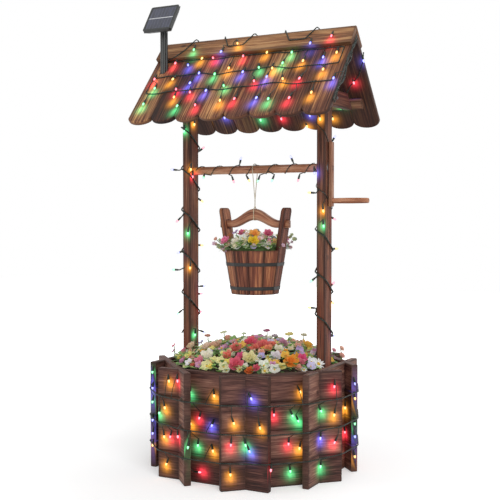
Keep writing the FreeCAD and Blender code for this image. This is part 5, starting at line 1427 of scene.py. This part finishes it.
# The flowers seen in the well: (x, y, radius, kind, colour); a sixth value is a height of its own.
WELL_BLOOMS = (
    (-200, -40, 11, "rose", "e0708a"), (-225, -55, 8, "open", "d8345c", 318),
    (-228, -50, 8, "open", "d890b8", 303), (-180, -32, 14, "rose", "e8c8a0", 316),
    (-130, -130, 12, "open", "f0e070"), (-160, -15, 10, "open", "b8b0e0", 326),
    (-100, -85, 14, "rose", "e0c0a8"), (-55, -155, 18, "rose", "f6f0dc"),
    (-95, -185, 11, "open", "f0eef4"), (-105, -185, 8, "open", "f4f0b0", 288),
    (-60, -185, 14, "rose", "e07890"), (-30, -205, 15, "open", "f4eca0"),
    (-55, -202, 10, "open", "d890b8"), (-25, -180, 11, "open", "f0e88a"), (-5, -180, 12, "open", "f4ec9a"),
    (-70, -80, 15, "double", "e0b090"), (5, -155, 14, "rose", "e8705c"), (0, -105, 18, "double", "e0685c"),
    (10, -90, 11, "open", "f0b040", 338), (45, -185, 20, "double", "e05068"),
    (40, -150, 11, "rose", "d84878"), (15, -50, 19, "double", "d8405a"), (55, -55, 20, "double", "e8605c"),
    (80, -75, 12, "rose", "f08058"), (65, -150, 19, "rose", "f4e8a0"), (20, -185, 11, "open", "f4dc50"),
    (20, -205, 13, "open", "f2ecb0"), (30, -208, 10, "open", "f4f2dc", 290),
    (85, -190, 12, "double", "e06020", 291), (85, -125, 10, "open", "b0a0e0"),
    (110, -160, 15, "open", "f4f6e8"), (120, -175, 11, "daisy", "f6f0b8", 292),
    (140, -160, 14, "open", "f4f2e4", 296), (100, -60, 13, "rose", "ece4cc"),
    (115, -105, 16, "double", "ece4e8"), (150, -140, 11, "open", "f2d870"),
    (155, -100, 20, "double", "f58a20"), (140, -100, 12, "open", "f8b030", 322),
    (145, -25, 13, "open", "c8a0e0", 324), (170, -65, 14, "rose", "d83c70"),
    (178, -82, 10, "rose", "e07080"), (125, 60, 19, "double", "f4b038", 328),
    (150, 35, 11, "open", "f6d040"), (120, 15, 12, "rose", "eca890"), (85, 0, 15, "double", "b8708c"),
    (50, -5, 12, "open", "d0c0e4"), (176, -5, 12, "open", "e4c0dc", 316), (190, -48, 13, "open", "f4f4f8"),
    (205, -38, 15, "daisy", "fafaf6"), (200, -75, 13, "open", "ccc0ec"),
    (192, -98, 8, "daisy", "fafaf6", 288), (185, 105, 8, "rose", "e48ca0", 310),
    (205, 110, 9, "rose", "f0b8a0", 316), (205, 112, 10, "rose", "e8a090", 296),
    (120, -25, 9, "open", "d8c8a0"), (-95, 20, 12, "rose", "e8a088", 336),
    (-35, -60, 10, "open", "c890a0", 342), (-85, -80, 12, "rose", "d8a888"))
# Those that stand over the others on thin stalks: (x, y, height, radius, colour).
TALL_BLOOMS = (
    (10, 50, 360, 10, "a04868"), (30, 60, 346, 9, "a08890"), (65, 80, 350, 12, "f0e080"),
    (100, 100, 348, 9, "d8d0a8"), (-95, -5, 355, 10, "dce0b0"), (-45, 20, 352, 7, "d0dcb0"),
    (-135, -25, 346, 9, "c07860"))
FILLERS = (
    "f6f0dc", "f0e070", "e8a088", "d890b8", "f4f6e8", "e05068", "f4b038", "c8b8e4", "e8705c", "f4eca0")


def heap(x, y):
    """The well's planting as a low dome: its top less a fall that grows with the distance squared."""
    return HEAP_TOP - HEAP_FALL * (x ** 2 + y ** 2) / HEAP_R ** 2


def beside_post(x, y, room):
    """Whether a place is in a post, or as near to it as the room that a plant takes."""
    return abs(x) > POST_IN - room - 2 and abs(y) < POST_WIDTH / 2 + room


def well_planting():
    """The flowers seen, small ones in a spiral wherever those leave room, leaves, and tall stalks.
    Small ones at the back, where none are seen to copy, are larger."""
    bed = Planting(21)
    draw = bed.draw

    def lean(x, y):
        """Which way a flower faces: up, out from the middle and a little to its own side."""
        r = math.hypot(x, y)
        out = np.array((x, y, 0)) / max(r, 1)
        front = draw.uniform(-0.4, -0.1) * (1 if y < BACK_FROM else -1)
        return out * (0.3 + 0.65 * (r / HEAP_R) ** 2) + (draw.uniform(-0.2, 0.2), front, 1)

    for x, y, radius, kind, tint, *height in WELL_BLOOMS:
        radius *= 1.12
        z = height[0] if height else heap(x, y)
        bed.bloom(np.array((x, y, z - 0.35 * radius)), lean(x, y), radius, kind, tint)
        if height and z > heap(x, y) + 4:
            bed.stalk((x, y, z - 34), (x, y, z - 4), 1.1, STALK_GREEN, 2)
    count, leaves = sizes_set().small_flowers, sizes_set().well_leaves
    for k in range(count):
        r, turn = spiral(k, count, BED_R)
        x = r * math.cos(turn) + draw.uniform(-5, 5)
        y = r * math.sin(turn) + draw.uniform(-5, 5)
        room = min(math.hypot(x - b[0], y - b[1]) - 0.75 * b[2] for b in WELL_BLOOMS)
        if room < 3 or beside_post(x, y, 10):
            continue
        place = np.array((x, y, heap(x, y) - 8 + draw.uniform(-4, 3)))
        up, radius = lean(x, y), draw.uniform(8, 13) * (1 if y < BACK_FROM else 1.35)
        bed.bloom(place, up, radius, ("open", "rose", "daisy", "open", "double")[k % 5],
                  FILLERS[int(draw.integers(len(FILLERS)))])
    for k in range(leaves):
        r, turn = spiral(k, leaves, BED_R, 1.7)
        x, y = r * math.cos(turn), r * math.sin(turn)
        if beside_post(x, y, 12):
            continue
        place = np.array((x, y, heap(x, y) - draw.uniform(3, 22)))
        angle = turn + draw.uniform(-1.6, 1.6)
        bed.leaf(place, (math.cos(angle), math.sin(angle), draw.uniform(0.0, 0.9)),
                 draw.uniform(16, 30), draw.uniform(8, 15), GREENS[k % 5])
    for k, (x, y, z, radius, tint) in enumerate(TALL_BLOOMS):
        top = np.array((x, y, z))
        bed.stalk((x, y, STALK_FOOT), top, 1.2, "7d9a52", draw.uniform(-3, 3))
        bed.bloom(top - (0, 0, 2), (draw.uniform(-0.15, 0.15), -0.15, 1), radius, "umbel", tint)
        for share in (0.35, 0.6):
            angle = draw.uniform(0, 2 * math.pi)
            place = np.array((x, y, STALK_FOOT + share * (z - STALK_FOOT)))
            bed.leaf(place, (math.cos(angle), math.sin(angle), 0.6), 13, 6, GREENS[k % 5])
    bed.piece("well_planting", "frame", "planter_flowers")


# The flowers seen in the bucket, as from the front left of the crank: (across, towards, height,
# radius, kind, colour).
BUCKET_BLOOMS = (
    (-4, 62, 604, 17, "rose", "f6cc1e"), (-2, 34, 624, 16, "double", "f0a040"),
    (-49, 52, 603, 14, "rose", "f4ecd8"), (-51, 58, 594, 11, "rose", "efe4c8"),
    (-32, 38, 615, 13, "open", "f8f8f0"), (34, 26, 625, 15, "double", "e05a80"),
    (39, 52, 609, 9, "open", "e080a8"), (52, 44, 604, 11, "rose", "f0c070"),
    (-78, 24, 607, 15, "double", "e878a0"), (-52, -18, 629, 12, "open", "c8a8e0"),
    (-29, -20, 632, 10, "daisy", "e4e2b8"), (-16, -22, 632, 9, "open", "f4eecc"),
    (5, -24, 636, 7, "umbel", "a8b8d0"), (17, 10, 621, 10, "open", "fafaf4"),
    (60, 5, 619, 9, "daisy", "e0d890"), (-66, 6, 618, 9, "rose", "b06038"),
    (86, -18, 612, 9, "open", "d060c0"), (-104, 6, 611, 7, "rose", "e8a890"),
    (20, 58, 599, 9, "open", "f4f0e0"), (-24, 66, 595, 9, "daisy", "f0f0e4"),
    (40, -30, 622, 13, "rose", "f4e0a8"), (-10, -48, 612, 13, "double", "e8808c"),
    (-50, -45, 604, 12, "open", "f6d8e4"), (30, -60, 602, 12, "daisy", "f6f3e4"))
PALE = ("f6f0dc", "f4e8c0", "ecd8b0", "f8f6ee", "f0e070", "ecc8c0", "f6e4e8", "e8b8a0", "dcd0b0", "c8b8e4")
# Sprigs that hang out over the rim: (across, towards, height).
SPRIGS = (
    (111, -28, 612), (98, -30, 592), (101, -28, 624), (-110, 10, 600), (-100, 20, 592), (-84, 34, 584),
    (-96, -20, 606), (74, 48, 596))
SPRIG_TINTS = ("8a9a78", "a07868", "a8b888", "c8a0b8")


def bucket_planting():
    """The bucket's flowers, their leaves, and sprigs that lean out beside the ears."""
    bed = Planting(22)
    draw = bed.draw
    small, leaves = 70, sizes_set().bucket_leaves
    c, s = math.cos(VIEW), math.sin(VIEW)
    seen = lambda across, towards, z: np.array((across * c + towards * s, across * s - towards * c, z))
    for across, towards, z, radius, kind, tint in BUCKET_BLOOMS:
        place = seen(across, towards, z)
        out = np.array((*place[:2], 0)) / 76
        bed.bloom(place, out + seen(0, 0.5, 1) + (draw.uniform(-0.2, 0.2), 0, 0), radius, kind, tint)
        bed.stalk(place * (0.7, 0.7, 0) + (0, 0, 578), place, 1.1, STALK_GREEN, 1.5)
        if towards > 20:
            bed.bloom(place * (-1, -1, 1), out * (-1, -1, 0) + (0, 0, 1), radius, kind, tint)
    mound = dome(MOUND_R, MOUND_TALL, 40)
    mound.points += draw.uniform(-1.5, 1.5, mound.points.shape)
    bed.put(mound.moved(0, 0, MOUND_FOOT), "42602a")
    for k in range(small):
        r, turn = spiral(k, small, 77, 1.9)
        z = 590 + 34 * (1 - (r / 80) ** 2) + draw.uniform(-3, 3)
        place = np.array((r * math.cos(turn), r * math.sin(turn), z))
        bed.bloom(place, place * (1, 1, 0) / 60 + (0, 0, 0.9), draw.uniform(8, 12),
                  ("open", "rose", "open", "umbel")[k % 4], PALE[k % len(PALE)])
    for k in range(leaves):
        r, turn = spiral(k, leaves, 80, 1.3)
        z = 585 + 30 * (1 - (r / 84) ** 2) + draw.uniform(-5, 10)
        angle = turn + draw.uniform(-1, 1)
        bed.leaf(np.array((r * math.cos(turn), r * math.sin(turn), z)),
                 (math.cos(angle), math.sin(angle), draw.uniform(0, 0.9)), draw.uniform(13, 24),
                 draw.uniform(7, 12), GREENS[k % 5])
    for k, sprig in enumerate(SPRIGS):
        tip = seen(*sprig)
        foot = tip * (0.62, 0.62, 0) + (0, 0, 586)
        bed.stalk(foot, tip, 0.9, "5b7040", 3)
        for share in (0.55, 0.75, 0.9, 1.0):
            place = foot + (tip - foot) * share + (0, 0, draw.uniform(-4, 4))
            bed.bloom(place, seen(draw.uniform(-0.6, 0.6), 1, 0.4), draw.uniform(4, 6.5), "open",
                      SPRIG_TINTS[(k + int(share * 20)) % 4])
    bed.piece("bucket_planting", "bucket", "bucket_flowers")


# CAD parts that keep their shape, by finish

PLAIN_PARTS = {
    "screw": ("post_screws", "tie_screws", "axle_washers", "axle_end_screw", "tilt_bolt", "wing_nut"),
    "raw_x": ("floor_cleats",),
    "raw_y": ("floor_slats", "bucket_bottom"),
    "raw_z": ("wall_uprights",),
    "liner": ("planter_liner",),
    "compost": ("planter_soil", "bucket_soil"),
    "hoop": ("upper_bucket_hoop", "lower_bucket_hoop"),
    "stake": ("panel_stake",),
    "housing": ("panel_back_shell", "panel_front_frame"),
    "cell": ("solar_cell",),
    "board": ("charge_board",),
    "battery": ("battery",),
    "button": ("power_button", "mode_button"),
}


def plain_parts():
    """Finishes for the CAD parts that are shown as they are."""
    for finish, nodes in PLAIN_PARTS.items():
        for node in nodes:
            wear(node, FINISH[finish])


# Stage

FLOOR_HALF = 6000
# Soft lamps: (name, place in metres, size, energy).
STUDIO_LAMPS = (("key", (2.6, -2.6, 3.4), 2.2, 95.0), ("fill", (-3.2, -2.8, 1.8), 2.6, 22.0),
                ("back", (0.5, 3.2, 3.0), 2.6, 30.0))
LENS, SENSOR, SHIFT = 67.3, 36.0, -0.01
CAMERA_AWAY, CAMERA_HIGH, CAMERA_TILT = 2.53, 0.671, math.radians(88.0)


def seen_rays(tree):
    """One for rays that show the background: from the camera, mirrored, or let through."""
    path = add(tree, "LightPath").outputs
    seen = add(tree, "Math", {0: path["Is Camera Ray"], 1: path["Is Glossy Ray"]}, operation="ADD")
    return add(tree, "Math", {0: seen, 1: path["Is Transmission Ray"]}, operation="ADD", use_clamp=True)


def pale_floor():
    """The floor. It shines a little where it is seen, so that it fades into the background."""
    flat = [(x * FLOOR_HALF, y * FLOOR_HALF, 0) for x, y in ((-1, -1), (1, -1), (1, 1), (-1, 1))]
    floor = mesh_object("studio_floor", Form(flat, ((0, 1, 2, 3),)))
    material, tree = new_finish("studio_floor_paint")
    away = add(tree, "VectorMath", {0: add(tree, "TexCoord").outputs["Object"]},
               operation="LENGTH").outputs["Value"]
    fade = add(tree, "MapRange", {0: away, 1: 0.5, 2: 2.5, 3: 0.36, 4: 0.9})
    own = add(tree, "Math", {0: seen_rays(tree), 1: fade}, operation="MULTIPLY")
    paint = add(tree, "BsdfDiffuse", {"Color": (0.78, 0.78, 0.78, 1)})
    glow = add(tree, "Emission", {"Color": (1, 1, 1, 1), "Strength": own})
    both = add(tree, "AddShader", {0: paint, 1: glow})
    add(tree, "OutputMaterial", {0: both})
    floor.data.materials.append(material)
    return floor


def stage():
    """A pale floor, soft studio lamps, and the camera at the photograph's place."""
    scene = bpy.context.scene
    floor = pale_floor()
    floor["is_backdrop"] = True
    scene.world = bpy.data.worlds.new("studio")
    scene.world.use_nodes = True
    tree = scene.world.node_tree
    tree.nodes.clear()
    strength = add(tree, "Math", {0: seen_rays(tree), 1: 0.45, 2: 0.55}, operation="MULTIPLY_ADD")
    sky = add(tree, "Background", {"Color": (1, 1, 1, 1), "Strength": strength})
    add(tree, "OutputWorld", {0: sky})
    for name, place, size, energy in STUDIO_LAMPS:
        light = bpy.data.lights.new(name, "AREA")
        light.size, light.energy = size, energy
        lit = bpy.data.objects.new(name, light)
        scene.collection.objects.link(lit)
        lit.location = place
        aim = np.array((0, 0, 0.6)) - place
        lit.rotation_euler = (math.acos(-aim[2] / np.linalg.norm(aim)), 0, math.atan2(-aim[0], aim[1]))
    camera = bpy.data.cameras.new("camera")
    camera.lens, camera.sensor_width, camera.shift_x = LENS, SENSOR, SHIFT
    camera.clip_end = 50
    held = bpy.data.objects.new("camera", camera)
    scene.collection.objects.link(held)
    held.location = (CAMERA_AWAY * math.sin(VIEW), -CAMERA_AWAY * math.cos(VIEW), CAMERA_HIGH)
    held.rotation_euler = (CAMERA_TILT, 0, VIEW)
    scene.camera = held
    scene.view_settings.view_transform = "Standard"


# Settings that a user would change

def length(name, description, size):
    """A length setting whose default is given in millimetres."""
    return bpy.props.FloatProperty(name=name, description=description, default=size * MM,
                                   min=0.1 * MM, unit="LENGTH")


def hue(name, description, code):
    """A colour setting whose default is given as sRGB hex."""
    return bpy.props.FloatVectorProperty(name=name, description=description,
                                         default=linear(code)[:3], min=0, max=1, subtype="COLOR")


def number(name, description, count):
    """A setting for how many there are."""
    return bpy.props.IntProperty(name=name, description=description, default=count, min=0)


class WellSizes(bpy.types.PropertyGroup):
    """Sizes and numbers of the well's dressing"""
    cord_radius: length("Cord radius", "Radius of the light string's twisted cord", CORD_R)
    post_cord_radius: length("Post cord radius", "Its radius on the posts, where it is bunched", 2.6)
    fine_cord_radius: length("Fine cord radius", "Its radius on the axle and beside the crank", FINE_R)
    twine_radius: length("Twine radius", "Radius of the bucket's twine", 1.2)
    scorch: length("Scorch", "How far from its sawn edges the wood is darkened", 5.0)
    small_flowers: number("Small flowers", "Small flowers between the large ones in the well", 230)
    well_leaves: number("Well leaves", "Leaves in the well", 1000)
    bucket_leaves: number("Bucket leaves", "Leaves in the bucket", 420)


class WellColours(bpy.types.PropertyGroup):
    """Colours of the well's dressing: the middle tone of each wood, and the lamps"""
    roof_wood: hue("Roof wood", "Middle tone of the roof boards", "6c412f")
    wall_wood: hue("Wall wood", "Middle tone of the wall boards", "774f44")
    post_wood: hue("Post wood", "Middle tone of posts and battens", "98664c")
    ridge_wood: hue("Ridge wood", "Middle tone of the two ridge boards", "6d4830")
    bucket_wood: hue("Bucket wood", "Middle tone of the staves", "784333")
    oiled_wood: hue("Oiled wood", "Middle tone of axle, crank and bail", "b47a5a")
    red_lamp: hue("Red lamp", "Rim of a red lamp", "ff1430")
    blue_lamp: hue("Blue lamp", "Rim of a blue lamp", "3038ff")
    amber_lamp: hue("Amber lamp", "Rim of an amber lamp", "ff9a10")
    green_lamp: hue("Green lamp", "Rim of a green lamp", "10d868")
    glow: bpy.props.FloatProperty(name="Glow", description="How strongly the lamps shine",
                                  default=1.5, min=0)


def sizes_set():
    """The sizes and numbers that are set in the scene."""
    return bpy.context.scene.well_sizes


def colours_set():
    """The colours that are set in the scene."""
    return bpy.context.scene.well_colours


# Operators

class WELL_OT_finishes(bpy.types.Operator):
    """Makes every wood, metal, plastic and plant finish"""
    bl_idname = "well.finishes"
    bl_label = "Finishes"

    def execute(self, context):
        make_finishes()
        return {"FINISHED"}


class WELL_OT_light_string(bpy.types.Operator):
    """Winds the light string round roof, posts, axle and wall"""
    bl_idname = "well.light_string"
    bl_label = "Light string"

    def execute(self, context):
        roof_lights()
        post_lights()
        axle_lights()
        wall_lights()
        return {"FINISHED"}


class WELL_OT_wall(bpy.types.Operator):
    """Laps the boards of the four courses"""
    bl_idname = "well.wall"
    bl_label = "Wall"

    def execute(self, context):
        wall_courses()
        return {"FINISHED"}


class WELL_OT_posts(bpy.types.Operator):
    """Stands the two posts"""
    bl_idname = "well.posts"
    bl_label = "Posts"

    def execute(self, context):
        post_pieces()
        return {"FINISHED"}


class WELL_OT_roof(bpy.types.Operator):
    """Lays the roof boards, ridge boards, battens and ties"""
    bl_idname = "well.roof"
    bl_label = "Roof"

    def execute(self, context):
        roof_boards()
        return {"FINISHED"}


class WELL_OT_windlass(bpy.types.Operator):
    """Turns the axle and its crank"""
    bl_idname = "well.windlass"
    bl_label = "Windlass"

    def execute(self, context):
        windlass_pieces()
        return {"FINISHED"}


class WELL_OT_bucket(bpy.types.Operator):
    """Sets up the staves and the bail"""
    bl_idname = "well.bucket"
    bl_label = "Bucket"

    def execute(self, context):
        bucket_pieces()
        return {"FINISHED"}


class WELL_OT_string(bpy.types.Operator):
    """Hangs the bucket on its twine"""
    bl_idname = "well.string"
    bl_label = "Bucket string"

    def execute(self, context):
        bucket_string()
        return {"FINISHED"}


class WELL_OT_planting(bpy.types.Operator):
    """Plants the well and the bucket"""
    bl_idname = "well.planting"
    bl_label = "Planting"

    def execute(self, context):
        well_planting()
        bucket_planting()
        return {"FINISHED"}


class WELL_OT_plain_parts(bpy.types.Operator):
    """Finishes the parts that keep their shape"""
    bl_idname = "well.plain_parts"
    bl_label = "Plain parts"

    def execute(self, context):
        plain_parts()
        return {"FINISHED"}


class WELL_OT_stage(bpy.types.Operator):
    """Sets the floor, the lamps and the camera"""
    bl_idname = "well.stage"
    bl_label = "Stage"

    def execute(self, context):
        stage()
        return {"FINISHED"}


# In the order in which they run: the light string comes first, since its lamps light the wood.
OPERATORS = (WELL_OT_finishes, WELL_OT_light_string, WELL_OT_wall, WELL_OT_posts, WELL_OT_roof,
             WELL_OT_windlass, WELL_OT_bucket, WELL_OT_string, WELL_OT_planting,
             WELL_OT_plain_parts, WELL_OT_stage)
GROUPS = (WellSizes, WellColours)


class WELL_PT_panel(bpy.types.Panel):
    """Lists the pieces of the well in the sidebar"""
    bl_label = "Wishing well planter"
    bl_idname = "WELL_PT_panel"
    bl_space_type = "VIEW_3D"
    bl_region_type = "UI"
    bl_category = "Well"

    def draw(self, context):
        for kind in OPERATORS:
            self.layout.operator(kind.bl_idname)
        for settings in (context.scene.well_sizes, context.scene.well_colours):
            for name in settings.__annotations__:
                self.layout.prop(settings, name)


def register():
    """Registers the settings, the operators and the panel."""
    for kind in (*GROUPS, *OPERATORS, WELL_PT_panel):
        bpy.utils.register_class(kind)
    bpy.types.Scene.well_sizes = bpy.props.PointerProperty(type=WellSizes)
    bpy.types.Scene.well_colours = bpy.props.PointerProperty(type=WellColours)


def unregister():
    """Takes them all away again."""
    del bpy.types.Scene.well_sizes, bpy.types.Scene.well_colours
    for kind in reversed((*GROUPS, *OPERATORS, WELL_PT_panel)):
        bpy.utils.unregister_class(kind)


def main():
    """Builds every piece in order."""
    register()
    for kind in OPERATORS:
        group, name = kind.bl_idname.split(".")
        getattr(getattr(bpy.ops, group), name)()
    low_high = lambda box: [[float(v) for v in corner] for corner in box]
    {"cad": low_high(BOUNDS_BEFORE), "visual": low_high(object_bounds())}


if __name__ == "__main__":
    main()
